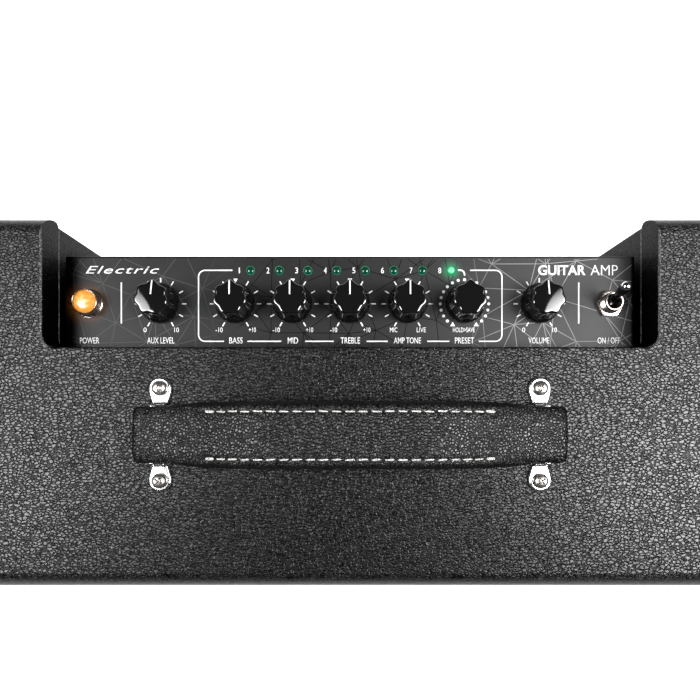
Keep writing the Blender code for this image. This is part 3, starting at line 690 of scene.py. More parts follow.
def make_world():
    """Grey at the horizon and dark overhead, so that gloss has something dark to mirror."""
    world = bpy.data.worlds.new("studio")
    world.use_nodes = True
    tree = world.node_tree
    coords = tree.nodes.new("ShaderNodeTexCoord")
    split = tree.nodes.new("ShaderNodeSeparateXYZ")
    ramp = tree.nodes.new("ShaderNodeMapRange")
    ramp.interpolation_type = "SMOOTHSTEP"
    for socket, value in (("From Min", 0.08), ("From Max", 0.40), ("To Min", 0.14), ("To Max", 0.03)):
        ramp.inputs[socket].default_value = value
    tree.links.new(coords.outputs["Generated"], split.inputs["Vector"])
    tree.links.new(split.outputs["Z"], ramp.inputs["Value"])
    tree.links.new(ramp.outputs["Result"], tree.nodes["Background"].inputs["Color"])
    bpy.context.scene.world = world


def make_studio():
    make_camera()
    make_floor()
    make_world()
    softbox("light_left", (-0.79, 0.05, TOP_Z + 0.85), (-0.20, 0.20, TOP_Z), 0.80, 2.2)
    softbox("light_right", (0.775, 0.05, TOP_Z + 0.85), (0.20, 0.20, TOP_Z), 0.84, 3.4)
    bpy.context.scene.view_settings.view_transform = "Standard"


# ---------------------------------------------------------------- cabinet


def flared_tool(outline, levels, normal="Z"):
    """A cutter whose outline grows by each level's amount, so that it leaves rounded edges."""
    return layered([(level, outline(grown)) for level, grown in levels], normal)


def edge_levels(level, radius, outwards, steps=5):
    """Levels and growths of a rounded edge at a level. outwards is +1 where the cutter leaves upwards."""
    made = []
    for step in range(steps + 1):
        a = math.radians(80) * step / steps
        made.append((level - outwards * radius * (1 - math.sin(a)), radius * (1 - math.cos(a))))
    made.append((level + outwards * 0.004, made[-1][1] + 0.0008))
    return made if outwards > 0 else made[::-1]


def notch_outline(grown):
    """The notch for the controls, seen from above, with its edges moved outwards."""
    x, far, wall = NOTCH_X + grown, 0.03, REAR + PROUD_REAR + 0.0002
    half = [(x, NOTCH_FRONT - grown, 0.007 + grown), (x, wall, 0.0010), (x + far, wall, 0)]
    half.append((x + far, REAR + far, 0))
    return rounded([(-px, y, r) for px, y, r in reversed(half)] + half)


def cabinet_ring(inset, z):
    x, front, rear = HALF_WIDTH - inset, FRONT - PROUD_FRONT + inset, REAR + PROUD_REAR - inset
    return [(px, py, z) for px, py in oblong((-x, front), (x, rear), CORNER_R - 0.9 * inset)]


def make_covering(looks):
    """The vinyl over the top, bottom and sides, as one skin round the cabinet's boards."""
    rings = []
    for a in quarter_turn(10):
        rings.append(cabinet_ring(RIM_ACROSS * (1 - math.sin(a)), BOTTOM_Z + RIM_DOWN * (1 - math.cos(a))))
    for a in quarter_turn(10):
        rings.append(cabinet_ring(RIM_ACROSS * (1 - math.cos(a)), TOP_Z - RIM_DOWN * (1 - math.sin(a))))

    def inside(grown):
        half, low, high = INNER_X + grown, INNER_LOW - grown, INNER_HIGH + grown
        return oblong((-half, low), (half, high), 0.0015 + grown, 4)

    levels = edge_levels(FRONT - PROUD_FRONT, 0.003, -1) + edge_levels(REAR + PROUD_REAR, 0.005, 1)
    shape = carve(loft(rings), flared_tool(inside, levels, "Y"))
    levels = [(INNER_HIGH - 0.004, 0.0012)] + edge_levels(INNER_HIGH, 0.0008, -1, 3)[1:]
    levels += edge_levels(TOP_Z, CREASE_R, 1)
    shape = carve(shape, flared_tool(notch_outline, levels))
    nodes = ("top_board", "bottom_board", "side_board_left", "side_board_right")
    made = piece("cabinet_covering", shape, looks["covering"], replaces=nodes, even=True)
    # Faces of the notch's walls take the vinyl copy with painted shade, and those of its rounded top edge the
    # lighter copy, a painted highlight.
    made.data.materials.append(looks["shade"])
    made.data.materials.append(looks["edge"])
    for face in made.data.polygons:
        x, y, z = face.center
        if abs(x) < NOTCH_X + 0.0012 and NOTCH_FRONT < y < REAR and z > INNER_HIGH - 0.001:
            face.material_index = 1 if face.normal.z < 0.35 else 2


def make_lining(looks):
    """The other boards, with their edges a little rounded."""
    for node in ("cheek_left", "cheek_right", "control_shelf", "back_panel"):
        shape = soften(cad_shape(node), 0.0008)
        # The cheeks and the shelf take the vinyl copy with painted shade.
        look = looks["covering" if node == "back_panel" else "shade"]
        made = piece(f"{node}_covering", shape, look, replaces=(node,), even=True)
        # The cheeks' bevels take the lighter vinyl copy: a painted highlight.
        if node.startswith("cheek"):
            made.data.materials.append(looks["edge"])
            for face in made.data.polygons:
                face.material_index = int(0.3 < face.normal.z < 0.95)
    shape = soften(cad_shape("grille_frame"), 0.001)
    piece("grille_frame_batten", shape, looks["black_wood"], replaces=("grille_frame",))


def make_grille(looks):
    """The cloth over the grille frame: a thin sheet, drawn tight and wrapped over the frame's edge."""
    low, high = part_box("grille_cloth")
    thick, edge = 0.0006, 0.0012
    rings = []
    middle_z, half_x, half_z = (low.z + high.z) / 2, (high.x - low.x) / 2, (high.z - low.z) / 2

    def ring(inset, y):
        x, z = half_x - inset, half_z - inset
        return [(px, y, pz + middle_z) for px, pz in oblong((-x, -z), (x, z), 0.003, 4)]

    for a in quarter_turn(6):
        rings.append(ring(edge * (1 - math.sin(a)), low.y + thick * (1 - math.sin(a))))
    rings.append(ring(0, high.y))
    shape = loft(rings)
    cloth = piece("grille_weave", shape, looks["cloth"], replaces=("grille_cloth",))


def make_feet(looks):
    """Turned rubber feet with a recess for their screws."""
    low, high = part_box("foot_1")
    height = high.z - low.z
    profile = [(0, 0.006), (0.0046, 0.006), (0.0055, 0.0054), (0.0058, 0.0008), (0.0064, 0), (0.0146, 0)]
    profile += [(0.0158, 0.0005), (0.0166, 0.0018), (0.0186, height - 0.0012), (0.0190, height), (0, height)]
    for index in range(1, 5):
        node = f"foot_{index}"
        place = middle(node).xy.to_3d() + Vector((0, 0, low.z))
        shape = moved(turned(profile, 48), place)
        piece(f"{node}_rubber", shape, looks["rubber"], replaces=(node,), smooth=40)


# ---------------------------------------------------------------- panel


def make_panel(looks):
    """Sheet steel with rounded bends, drilled for each control."""
    sheet, bend = 0.0015, 0.0016
    low, high = PANEL_LOW, PANEL_HIGH
    front, rear, under = low.y + sheet, high.y - sheet, high.z - sheet
    corners = [(low.y, low.z, 0), (front, low.z, 0), (front, under, 0), (rear, under, 0), (rear, low.z, 0)]
    corners += [(high.y, low.z, 0), (high.y, high.z, bend), (low.y, high.z, bend)]
    shape = prism(rounded(corners), low.x, high.x, "X")
    holes = [(x, KNOB_Y, 0.0048) for x in KNOB_X.values()]
    holes += [(x, LED_Y, 0.0026) for x in LED_X]
    holes += [(x, KNOB_Y, 0.0063) for x in (LAMP_X, TOGGLE_X)]
    drills = [moved(rod(r, high.z - 0.004, high.z + 0.004), (x, y, 0)) for x, y, r in holes]
    shape = carve(shape, gather(drills))
    nodes = ("control_chassis",)
    piece("control_panel", shape, looks["panel"], replaces=nodes, even=True)


def on_panel(x, y):
    """A point on the panel, from millimetres beside its centre line and behind the knobs' row."""
    return Vector((x / 1000, KNOB_Y + y / 1000))


def inked(outline, low=PRINT_LOW, high=PRINT_HIGH):
    return prism(outline, PANEL_Z + low, PANEL_Z + high)


def stroke(points, width):
    """A printed line through the points, in metres, with square ends."""
    rings = []
    for index, point in enumerate(points):
        before = points[max(index - 1, 0)]
        after = points[min(index + 1, len(points) - 1)]
        along = (after - before).normalized()
        across = Vector((-along.y, along.x)) * width / 2
        ring = [point - across, point + across]
        low, high = PANEL_Z + PRINT_LOW, PANEL_Z + PRINT_HIGH
        rings.append([(*ring[0], low), (*ring[1], low), (*ring[1], high), (*ring[0], high)])
    return loft(rings)


def tick(start, end, width):
    """A short printed line with round ends."""
    along = (end - start).normalized()
    outline = []
    for centre, turn in ((end, -90), (start, 90)):
        for step in range(7):
            outline.append(centre + Matrix.Rotation(math.radians(turn + 30 * step), 2) @ along * width / 2)
    return inked(outline)


def lettering(text, centre, height, width, weight=0.0, slant=0.0, spacing=1.0):
    """Words as thin solids that fill the given height and width, centred on a point of the panel."""
    data = bpy.data.curves.new("lettering", "FONT")
    data.body = text
    data.extrude = 0.05
    data.offset = weight
    data.shear = slant
    data.space_character = spacing
    data.resolution_u = 3
    words = bpy.data.objects.new("lettering", data)
    bpy.context.scene.collection.objects.link(words)
    bpy.context.view_layer.update()
    shape = bmesh.new()
    mesh = bpy.data.meshes.new_from_object(words.evaluated_get(bpy.context.evaluated_depsgraph_get()))
    shape.from_mesh(mesh)
    bpy.data.objects.remove(words)
    bpy.data.curves.remove(data)
    bpy.data.meshes.remove(mesh)
    bmesh.ops.remove_doubles(shape, verts=shape.verts, dist=1e-5)
    low = Vector(min(v.co[i] for v in shape.verts) for i in range(3))
    high = Vector(max(v.co[i] for v in shape.verts) for i in range(3))
    size = (width, height, PRINT_HIGH - PRINT_LOW)
    scale = Vector(size[i] / (high[i] - low[i]) for i in range(3))
    place = Vector((*centre, PANEL_Z + (PRINT_LOW + PRINT_HIGH) / 2))
    for vert in shape.verts:
        vert.co = (vert.co - (low + high) / 2) * scale + place
    return shape


def word(text, x, y, height, width, **settings):
    """Lettering placed and sized in millimetres."""
    return lettering(text, on_panel(x, y), height / 1000, width / 1000, **settings)


def dial(name):
    """The marks round one knob, clockwise from straight back."""
    x = KNOB_X[name] * 1000
    made = []

    def at(angle, radius):
        return on_panel(x + radius * math.sin(angle), radius * math.cos(angle))

    def mark(centre, outline):
        made.append(inked([centre + Vector(point[:2]) / 1000 for point in outline]))

    if name == "preset":
        for step in range(19):
            mark(at(math.radians(15 * step - 135), 14.8), circle(0.95, 0, 12))
        for a in (math.radians(-150), math.radians(150)):
            mark(at(a, 14.4), ((-1.5, -1.2), (1.5, -1.2), (0, 1.4)))
        return made
    for step in range(11):
        a = math.radians(30 * step - 150)
        if step == 5 and name not in ("aux_level", "volume"):
            mark(at(a, 14.2), ((-1.4, 1.2), (1.4, 1.2), (0, -1.2)))
        else:
            made.append(tick(at(a, 13.4), at(a, 15.5), LINE))
    return made


def corner_path(corners):
    """Points of an open path on the panel, from (x, y, radius) corners in millimetres."""
    path = rounded([(x / 1000, y / 1000, r / 1000) for x, y, r in corners])
    return [point + Vector((0, KNOB_Y)) for point in path]


def make_print(looks):
    """Words, scales and lines in white. The words are plain control names."""
    made = []
    left, right, top, bottom, r = -92.6, 92.9, 20.5, -22.9, 4
    for x, upper, lower in ((left, -72, -77), (right, 73.4, 78.8)):
        frame_end = [(upper, top, 0), (x, top, r), (x, bottom, r), (lower, bottom, 0)]
        made.append(stroke(corner_path(frame_end), LINE))
    made.append(stroke(corner_path([(66, 20.6, 0), (70, 20.6, 2.6), (70, 17.3, 0)]), 0.0009))
    for start, end in ((-62.7, -42.1), (-27.3, -10), (10.1, 23), (47.2, 60.7)):
        made.append(stroke([on_panel(start, bottom), on_panel(end, bottom)], LINE))
    for x in (-139.8, 139.8):
        made.append(stroke([on_panel(x, 13.1), on_panel(x, -12.1)], 0.0008))
    labels = [
        ("POWER", -159.2, 11.8),
        ("AUX LEVEL", -115.7, 16.6),
        ("BASS", -69.7, 8.2),
        ("MID", -34.9, 6.3),
        ("TREBLE", 0.2, 11.9),
        ("AMP TONE", 35.1, 16.6),
        ("PRESET", 70.0, 11.7),
        ("VOLUME", 115.5, 12.8),
        ("ON / OFF", 158.2, 13.6),
    ]
    made += [word(text, x, -22.4, 3.74, width, weight=0.002) for text, x, width in labels]
    scales = {name: (("-10", -10.0, 4.3), ("+10", 10.3, 4.3)) for name in ("bass", "mid", "treble")}
    scales["amp_tone"] = (("MIC", -8.3, 4.5), ("LIVE", 8.6, 5.6))
    scales["aux_level"] = (("0", -9.5, 1.9), ("10", 9.8, 2.8))
    scales["volume"] = (("0", -9.5, 1.9), ("10", 9.4, 2.8))
    scales["preset"] = (("HOLD>SAVE", -0.4, 13.4),)
    for name, words in scales.items():
        made += [word(text, KNOB_X[name] * 1000 + x, -15.9, 2.9, width) for text, x, width in words]
    for number, x in enumerate(LED_X, 1):
        made.append(word(str(number), x * 1000 - 6.9, 20.4, 3.5, 0.65 if number == 1 else 1.8))
    made.append(word("Electric", -139.2, 20.8, 4.6, 45.0, slant=0.35, spacing=1.15))
    made.append(word("GUITAR", 129.5, 20.6, 6.2, 29.0, weight=0.022))
    made.append(word("AMP", 155.4, 20.6, 6.2, 16.6, weight=-0.010))
    for name in KNOB_X:
        made += dial(name)
    piece("panel_print", gather(made), looks["print"], smooth=20)


def kept_spans(start, end, circles):
    """Shares of the line from start to end that lie outside every circle."""
    along = end - start
    length = along.length
    spans = [(0.0, 1.0)]
    for centre, radius in circles:
        nearest = (centre - start).dot(along) / length**2
        off = (start + along * nearest - centre).length
        if off >= radius:
            continue
        reach = math.sqrt(radius**2 - off**2) / length
        low, high = nearest - reach, nearest + reach
        cut = []
        for a, b in spans:
            cut += [(a, min(b, low)), (max(a, high), b)]
        spans = [(a, b) for a, b in cut if b - a > 0.02]
    return spans


def make_web(looks):
    """A web of fine lines over the whole panel: scattered points, each joined to its nearest neighbours."""
    dice = random.Random(23)
    apart, width = 0.0165, 0.00042
    low, high = PANEL_LOW.xy + Vector((0.0006, 0.016)), PANEL_HIGH.xy - Vector((0.0006, 0.0020))
    points = []
    for _ in range(3000):
        point = Vector((dice.uniform(low.x - 0.02, high.x + 0.02), dice.uniform(low.y - 0.02, high.y + 0.02)))
        if all((point - other).length > apart for other in points):
            points.append(point)
    links = set()
    for index, point in enumerate(points):
        order = sorted(range(len(points)), key=lambda i: (points[i] - point).length)
        for other in order[1 : dice.choice((3, 4, 6, 8))]:
            links.add((min(index, other), max(index, other)))
    circles = [(Vector((x, KNOB_Y)), 0.0119) for x in KNOB_X.values()]
    circles += [(Vector((x, KNOB_Y)), 0.0085) for x in (LAMP_X, TOGGLE_X)]
    circles += [(Vector((x, LED_Y)), 0.0033) for x in LED_X]
    strips = []
    for first, second in sorted(links):
        ends = clipped(points[first], points[second], low, high)
        if not ends or (ends[1] - ends[0]).length < 0.001:
            continue
        for a, b in kept_spans(*ends, circles):
            start, end = ends[0].lerp(ends[1], a), ends[0].lerp(ends[1], b)
            along = (end - start).normalized()
            across = Vector((-along.y, along.x)) * width / 2
            outline = [start - across, end - across, end + across, start + across]
            strips.append(inked(outline, WEB_LOW, WEB_HIGH))
    piece("panel_web", gather(strips), looks["web"], smooth=20)


def clipped(start, end, low, high):
    """The part of a line inside a rectangle, or None."""
    share = [0.0, 1.0]
    along = end - start
    for axis in (0, 1):
        if abs(along[axis]) < 1e-9:
            if not low[axis] <= start[axis] <= high[axis]:
                return None
            continue
        hits = sorted(((low[axis] - start[axis]) / along[axis], (high[axis] - start[axis]) / along[axis]))
        share = [max(share[0], hits[0]), min(share[1], hits[1])]
    if share[0] >= share[1]:
        return None
    return start + along * share[0], start + along * share[1]


# ---------------------------------------------------------------- knobs and switches


def lobed(angle):
    """How far a knob's side stands out, from 0 in a flute to 1 on a lobe, and the extra reach of its nose."""
    from_nose = (angle - math.pi / 2 + math.pi) % (2 * math.pi) - math.pi
    lobe = 0.5 + 0.5 * math.cos(7 * from_nose)
    return lobe, math.exp(-((from_nose / 0.20) ** 2))


def knob_shape():
    """A fluted knob on a round skirt, hollow underneath, with its nose towards +Y."""
    count = 140
    height = KNOB_TOP - PANEL_Z - KNOB_LIFT
    angles = [2 * math.pi * i / count for i in range(count)]

    def side(angle):
        lobe, nose = lobed(angle)
        return 0.0091 + 0.0011 * lobe + 0.0007 * nose

    def body(z, grow):
        return [((side(a) + grow) * math.cos(a), (side(a) + grow) * math.sin(a), z) for a in angles]

    def crown(share, turn):
        """A ring of the top, part way from the middle to its edge, then round its shoulder."""
        ring = []
        for a in angles:
            r = (side(a) - SHOULDER) * share
            z = height - DOME * (r / DOME_R) ** 2 - SHOULDER * (1 - math.cos(turn))
            r += SHOULDER * math.sin(turn)
            ring.append((r * math.cos(a), r * math.sin(a), z))
        return ring

    profile = [(0, 0.012), (0.0032, 0.012), (0.0032, 0.004), (0.0075, 0.004), (0.0075, 0)]
    profile += [(KNOB_R - 0.0003, 0), (KNOB_R, 0.0003), (KNOB_R, 0.0014)]
    profile += [(KNOB_R - 0.0003, 0.0022), (KNOB_R - 0.0009, 0.0027)]
    rings = [circle(radius, z, count) for radius, z in profile]
    rings += [body(0.0034, 0.0012), body(0.0040, 0.0008), body(0.0052, 0.0005), body(0.0090, 0.0001)]
    rings += [crown(1.0, math.radians(15 * step)) for step in range(6, 0, -1)]
    rings += [crown(1 - step / 12, 0.0) for step in range(12)]
    rings.append([(0, 0, height)])
    return loft(rings)


def pointer_shape():
    """The white line on a knob's top, from near its middle to the nose."""
    height = KNOB_TOP - PANEL_Z - KNOB_LIFT
    start, end, half, proud = 0.0018, 0.0099, 0.00038, 0.00006
    rings = []
    for step in range(11):
        y = start + (end - start) * step / 10
        high = height - DOME * (y / DOME_R) ** 2 + proud
        low = high - proud - 0.0003
        rings.append([(-half, y, low), (half, y, low), (half, y, high), (-half, y, high)])
    return loft(rings)


def make_knobs(looks):
    for name, x in KNOB_X.items():
        turn = -POINTER_DEG.get(name, 0)
        place = (x, KNOB_Y, PANEL_Z + KNOB_LIFT)
        body = "preset_button" if name == "preset" else name
        cap = moved(spun(knob_shape(), turn), place)
        piece(f"{name}_cap", cap, looks["gloss"], body, (f"{name}_knob",), smooth=40)
        if name != "preset":
            piece(f"{name}_pointer", moved(spun(pointer_shape(), turn), place), looks["print"], body)


def make_leds(looks):
    """Eight domed lenses in one moulding behind the panel. The eighth is lit."""
    bar = soften(block(PIPE_LOW, (PIPE_HIGH.x, PIPE_HIGH.y, PANEL_Z - 0.0020)), 0.0004)
    stem, dome = 0.0021, 0.0023
    profile = [(0, -0.003), (stem, -0.003), (stem, 0.0001), (dome, 0.0001)]
    profile += [*domed(dome, 0.0004, 0.0011, range(0, 90, 15), 1), (0, 0.0015)]
    domes = [moved(turned(profile, 32), (x, LED_Y, PANEL_Z)) for x in LED_X]
    lit = domes.pop()
    for name, shape, look in (("led_lenses", gather([bar, *domes]), "green"), ("led_lens_lit", lit, "lit")):
        piece(name, shape, looks[look], replaces=("led_light_pipe",), smooth=50)
    # Lighter green rings round the lenses: a painted highlight where their edges catch the light.
    ring = [(0.00234, 0.00004), (0.00278, 0.00004), (0.00278, 0.0003), (0.0026, 0.0005), (0.00234, 0.0004)]
    rims = [moved(turned(ring, 32, closed=True), (x, LED_Y, PANEL_Z)) for x in LED_X]
    piece("led_rim_highlights", gather(rims), looks["rim"], smooth=40)


def make_lamp(looks):
    """A chrome bezel with a faceted amber jewel."""
    place = (LAMP_X, KNOB_Y, PANEL_Z)
    bezel = [(0.0045, -0.014), (0.0060, -0.014), (0.0060, 0.0003), (0.0086, 0.0003), (0.0088, 0.0005)]
    bezel += [(0.0088, 0.0008), (0.0086, 0.0011), (0.0079, 0.0013), (0.0076, 0.0016), (0.0076, 0.0068)]
    for turn in (30, 60, 90):
        a = math.radians(turn)
        bezel.append((0.0076 - 0.0003 * (1 - math.cos(a)), 0.0072 + 0.0006 * math.sin(a)))
    bezel += [(0.0071, 0.0077), (0.0070, 0.0072), (0.0070, 0.0030), (0.0045, 0.0030)]
    shape = moved(turned(bezel, 64, closed=True), place)
    piece("lamp_bezel_ring", shape, looks["warm"], replaces=("lamp_bezel",), smooth=40)
    facets = [(0, 0.0033, 0), (0.0067, 0.0033, 0), (0.0067, 0.0072, 0), (0.0060, 0.0079, 0.5)]
    facets += [(0.0043, 0.0086, 0), (0.0021, 0.0090, 0.5), (0, 0.0091, 0)]
    shape = moved(loft([circle(radius, z, 12, shift) for radius, z, shift in facets]), place)
    bmesh.ops.triangulate(shape, faces=shape.faces)
    piece("lamp_jewel_lens", shape, looks["jewel"], replaces=("lamp_jewel",), smooth=8)


def make_toggle(looks):
    """A bat-handle switch: its case, threaded bushing, nut and lever."""
    place = (TOGGLE_X, KNOB_Y, PANEL_Z)
    case = soften(block((-0.0065, -0.013, -0.024), (0.0065, 0.013, -0.0020)), 0.0005)
    nodes = ("toggle_body",)
    piece("toggle_case", moved(case, place), looks["plastic"], replaces=nodes)
    profile = [(0.0044, -0.0016), (0.0060, -0.0016)]
    for step in range(13):
        profile += [(0.0060, -0.0002 + 0.00052 * step), (0.0056, 0.00006 + 0.00052 * step)]
    profile += [(0.0056, 0.0070), (0.0052, 0.0075), (0.0046, 0.0075), (0.0044, 0.0072)]
    shape = moved(turned(profile, 40, closed=True), place)
    piece("toggle_bushing", shape, looks["warm"], replaces=nodes, smooth=30)
    make_nut(looks, place)
    pivot = Vector((TOGGLE_X, KNOB_Y, PANEL_Z + 0.0015))
    bat = [(0, -0.0026), (0.0018, -0.0019), (0.0026, 0), (0.0018, 0.0019), (0.0017, 0.0050)]
    bat += [(0.0021, 0.0090), (0.0027, 0.0150), (0.0031, 0.0193)]
    bat += [*domed(0.0031, 0.0201, 0.0031, range(0, 90, 15), 1), (0, 0.0232)]
    lean = -16
    shape = moved(spun(turned(bat, 32), lean, "X"), pivot)
    made = piece("toggle_bat", shape, looks["lever"], "toggle", ("toggle_lever",), smooth=50)
    made.data.materials.append(looks["chrome"])
    along = Matrix.Rotation(math.radians(lean), 3, "X") @ Vector((0, 0, 1))
    for face in made.data.polygons:
        reach = (face.center - pivot).dot(along)
        face.material_index = int(reach > 0.0200 or reach < 0.0052)


def make_nut(looks, place):
    """A hexagon nut with its corners turned off."""
    low, high, across = 0.0003, 0.0024, 0.0088
    shape = loft([circle(across, low, 6), circle(across, high, 6)])
    cone = [(0, low - 0.001), (0.0110, low - 0.001), (0.0110, high - 0.0012), (0.0076, high), (0, high)]
    shape = carve(shape, turned(cone, 64), "INTERSECT")
    shape = moved(carve(shape, rod(0.0063, -0.01, 0.01, 40)), place)
    piece("toggle_hex_nut", shape, looks["warm"], replaces=("toggle_nut",), smooth=20)


# ---------------------------------------------------------------- handle


def share_of(value, span):
    """How far a value has come along a span, from 0 to 1."""
    return min(max(value / span, 0), 1)


def eased(share):
    return share * share * (3 - 2 * share)


def arch(x):
    """0 at the strap's ends and 1 along its raised middle."""
    return eased(share_of(0.112 - abs(x), 0.070))


def end_arc(x, reach):
    """1 along the strap, falling round a quarter circle to 0 over the last stretch before its end."""
    past = share_of(abs(x) - (STRAP_END - reach), reach)
    return math.sqrt(1 - past * past)


def strap_half_width(x):
    wide = eased(share_of(0.116 - abs(x), 0.045))
    return STRAP_HALF + 0.0022 * wide - 0.0035 * (1 - end_arc(x, 0.0035))


def strap_top(x, y):
    """Height of the strap's upper face over its middle line, with the rows of stitches drawn down into it."""
    half = strap_half_width(x)
    share = min(abs(y) / half, 1)
    thick = (0.00625 + 0.00075 * arch(x)) * (0.25 + 0.75 * end_arc(x, 0.0028))
    height = thick * (1 - share**4.4) ** (1 / 2.86)
    groove = math.exp(-(((abs(y) - STITCH_Y) / 0.0010) ** 2))
    height -= 0.00055 * share_of(ROW_END - abs(x), 0.002) * groove
    away = math.hypot(abs(x) - ROW_END, abs(y) - STITCH_Y)
    return height - 0.0009 * math.exp(-((away / 0.0022) ** 2))


def strap_middle(x):
    return 0.00775 + STRAP_RISE * arch(x)


def strap_shape():
    """The padded leather, closed all round, before its tunnels are cut."""
    count, steps = 96, 150
    rings = []
    for step in range(steps + 1):
        share = 2 * step / steps - 1
        x = STRAP_END * (1.06 * share - 0.06 * share**3) if abs(share) < 1 else STRAP_END * share
        half = strap_half_width(x)
        ring = []
        for i in range(count):
            a = 2 * math.pi * i / count
            y = math.copysign(abs(math.cos(a)) ** 0.45, math.cos(a)) * half
            side = 1 if math.sin(a) >= 0 else -0.98
            ring.append((x, y + HANDLE_Y, TOP_Z + strap_middle(x) + side * strap_top(x, y)))
        rings.append(ring)
    return loft(rings)


def make_strap(looks):
    shape = strap_shape()
    half = WAIST / 2 + 0.0006
    low, high = TOP_Z + BAR_TOP - 0.0056, TOP_Z + BAR_TOP + 0.0003
    tunnels = [
        block((x - half, HANDLE_Y - 0.03, low), (x + half, HANDLE_Y + 0.03, high))
        for x in (-BRACKET_X, BRACKET_X)
    ]
    shape = carve(shape, gather(tunnels))
    nodes = ("handle_strap", "handle_core")
    strap = piece("handle_leather", shape, looks["leather"], "handle", nodes, smooth=50)


def stitch(x, y, length, thick, yaw):
    """One stitch: a thread that rises from the leather and dips back into it."""
    rings = []
    for step in range(9):
        share = step / 8 * 2 - 1
        along = share * length / 2
        px, py = x + along * math.cos(yaw), y + along * math.sin(yaw)
        size = thick / 2 * (1 - 0.45 * share**4)
        z = strap_middle(px) + strap_top(px, py) + 0.00018 - 0.0005 * share**4
        ring = []
        for across, up, _ in circle(size, 0, 10):
            ring.append((px - math.sin(yaw) * across, py + HANDLE_Y + across, TOP_Z + z + 0.8 * up))
        rings.append(ring)
    return loft(rings)


def stitch_places():
    """Where along the strap its stitches lie: a pitch apart, measured along the arched leather."""
    places, gone, x, step = [0.0], 0.0, 0.0, 0.0001
    while len(places) < 12:
        x += step
        gone += math.hypot(step, strap_middle(x) - strap_middle(x - step))
        if gone >= STITCH_PITCH:
            gone -= STITCH_PITCH
            places.append(x)
    return [-place for place in reversed(places[1:])] + places


def make_stitches(looks):
    """Two rows along the strap. The end stitches of a row are sewn twice."""
    dice = random.Random(4)
    made = []
    places = stitch_places()
    for side in (-1, 1):
        for x in places:
            tilt = 3.0 if side < 0 else -3.0
            yaw = math.radians(dice.uniform(-1.5, 1.5) + tilt)
            length = 0.0055 + dice.uniform(-0.0002, 0.0002)
            thick = 0.0016 if abs(x) == places[-1] else 0.0009
            y = side * STITCH_Y + dice.uniform(-0.0001, 0.0001)
            made.append(stitch(x, y, length, thick, yaw))
    piece("handle_stitches", gather(made), looks["thread"], "handle", smooth=60)


def round_upper_edges(shape, width):
    """Rounds a bracket's edges between the faces that look up and those at its sides, but not its holes."""
    shape.normal_update()

    def is_rim(edge):
        if len(edge.link_faces) != 2:
            return False
        side, upper = sorted((face.normal.z for face in edge.link_faces), key=abs)
        x, y, _ = edge.verts[0].co
        return abs(side) < 0.3 and upper > 0.5 and math.hypot(x, abs(y) - EAR_Y) > 0.003

    rim = [edge for edge in shape.edges if is_rim(edge)]
    bevel(shape, rim, width, 5)


def make_brackets(looks):
    """Chrome strips with a rounded ear at each end and a raised bar between them."""
    thick, foot = 0.002, 0.0003
    crown = BAR_TOP - thick
    ear_end, ear, waist = EAR_Y + EAR_WIDTH / 2, EAR_WIDTH / 2 - 1e-4, WAIST / 2
    upper = [(-ear_end - 0.001, foot + thick, 0), (-0.0181, foot + thick, 0.0004), (-0.0167, BAR_TOP, 0.0010)]
    lower = [(0.0150, crown, 0.0004), (0.0165, foot, 0.0008), (ear_end + 0.001, foot, 0)]
    side = rounded(mirrored(upper) + sorted(mirrored(lower), reverse=True), 4)
    quarter = [(ear, -ear_end, 0.0061), (ear, -0.0240, 0.0040), (0.0048, -0.0184, 0.0006)]
    quarter.append((waist, -0.0174, 0))
    plan = rounded(mirrored(mirrored(quarter, 1, -1)), 10)
    for node, x in (("handle_bracket_left", -BRACKET_X), ("handle_bracket_right", BRACKET_X)):
        shape = prism(side, -EAR_WIDTH / 2, EAR_WIDTH / 2, "X")
        shape = carve(shape, prism(plan, -0.01, 0.02), "INTERSECT")
        drills = [moved(rod(0.0023, -0.01, 0.02, 24), (0, y, 0)) for y in (-EAR_Y, EAR_Y)]
        shape = carve(shape, gather(drills))
        round_upper_edges(shape, 0.0014)
        moved(shape, (x, HANDLE_Y, TOP_Z))
        piece(f"{node}_plate", shape, looks["bracket"], replaces=(node,), smooth=40, even=True)


def screw_shape():
    """A pan-head screw with a cross recess, standing on z = 0."""
    head = 0.0043
    profile = [(0, -0.0176), (0.001, -0.0156), (0.0019, -0.0126), (0.0019, 0), (head, 0), (head, 0.0006)]
    profile += [*domed(head, 0.0006, 0.0026, range(10, 90, 10)), (0, 0.0032)]
    shape = turned(profile, 48)
    wide, narrow, low, high, slot = 0.0024, 0.0010, 0.0010, 0.0050, 0.00055
    for turn in (0, 90):
        rings = []
        for reach, width, z in ((narrow, slot * 0.7, low), (wide, slot, 0.0032), (wide + 0.0003, slot, high)):
            rings.append([(-reach, -width, z), (reach, -width, z), (reach, width, z), (-reach, width, z)])
        shape = carve(shape, spun(loft(rings), turn))
    return shape


def make_screws(looks):
    for index in range(1, 5):
        node = f"handle_screw_{index}"
        place = middle(node).xy.to_3d() + Vector((0, 0, TOP_Z + 0.0026))
        shape = moved(spun(screw_shape(), 20 + 37 * index), place)
        piece(f"{node}_pan", shape, looks["screw"], replaces=(node,), smooth=35)


# ---------------------------------------------------------------- rear


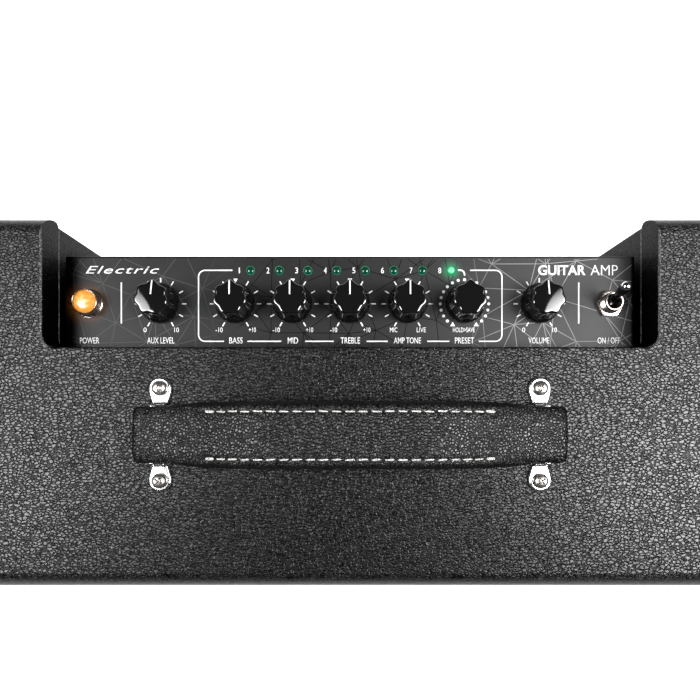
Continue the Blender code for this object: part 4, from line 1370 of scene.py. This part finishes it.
def make_rear(looks):
    """The connector plate and what it holds, and the screws of the plate and of the back panel."""
    for node, look, slot, width in (
        ("io_plate", "painted", "painted_steel", 0.0004),
        ("mains_inlet", "plastic", "black_plastic", 0.0004),
        ("instrument_jack", "plastic", "black_plastic", 0.0003),
        ("line_jack", "plastic", "black_plastic", 0.0003),
        ("usb_socket", "steel", "steel", 0.0002),
    ):
        shape = soften(cad_shape(node), width)
        piece(f"{node}_shell", shape, looks[look], replaces=(node,), even=True)
    plate_low, plate_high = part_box("io_plate")
    panel_low, panel_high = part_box("back_panel")
    screws = []
    for x in (plate_low.x + 0.006, plate_high.x - 0.006):
        for z in (plate_low.z + 0.006, plate_high.z - 0.006):
            screws.append((x, plate_high.y, z))
    for x in (-0.228, -0.085, 0.085, 0.228):
        for z in (panel_low.z + 0.014, panel_low.z + 0.195):
            screws.append((x, panel_high.y, z))
    heads = [moved(spun(rear_screw(), -90, "X"), place) for place in screws]
    piece("rear_screws", gather(heads), looks["steel"], smooth=35)


def rear_screw():
    head = 0.0038
    profile = [(0, 0.0001), (head, 0.0001), (head, 0.0005)]
    profile += [*domed(head, 0.0005, 0.0018, range(15, 90, 15)), (0, 0.0023)]
    shape = turned(profile, 24)
    for turn in (0, 90):
        shape = carve(shape, spun(block((-0.0020, -0.0004, 0.0010), (0.0020, 0.0004, 0.0040)), turn))
    return shape


# ---------------------------------------------------------------- CAD nodes that stay


def dress_nodes(looks):
    """Materials for the CAD nodes whose shape is right as it is."""
    kinds = {
        "bare_wood": ("control_bulkhead", "baffle_board"),
        "circuit": ("control_board",),
        "plastic": ("encoder_rotor", "horn"),
        "aluminium": ("amp_module",),
        "painted": ("woofer_frame",),
        "iron": ("woofer_magnet", "horn_driver"),
        "paper": ("woofer_cone",),
        "rubber": ("woofer_surround",),
        "steel": tuple(f"{name}_shaft" for name in KNOB_X),
    }
    for look, nodes in kinds.items():
        for node in nodes:
            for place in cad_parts[node].material_slots:
                place.material = looks[look]


def main():
    make_studio()
    looks = make_looks()
    cabinet = (make_covering, make_lining, make_grille, make_feet)
    controls = (make_panel, make_print, make_web, make_knobs, make_leds, make_lamp, make_toggle)
    handle = (make_strap, make_stitches, make_brackets, make_screws)
    for make in (*cabinet, *controls, *handle, make_rear, dress_nodes):
        make(looks)


main()
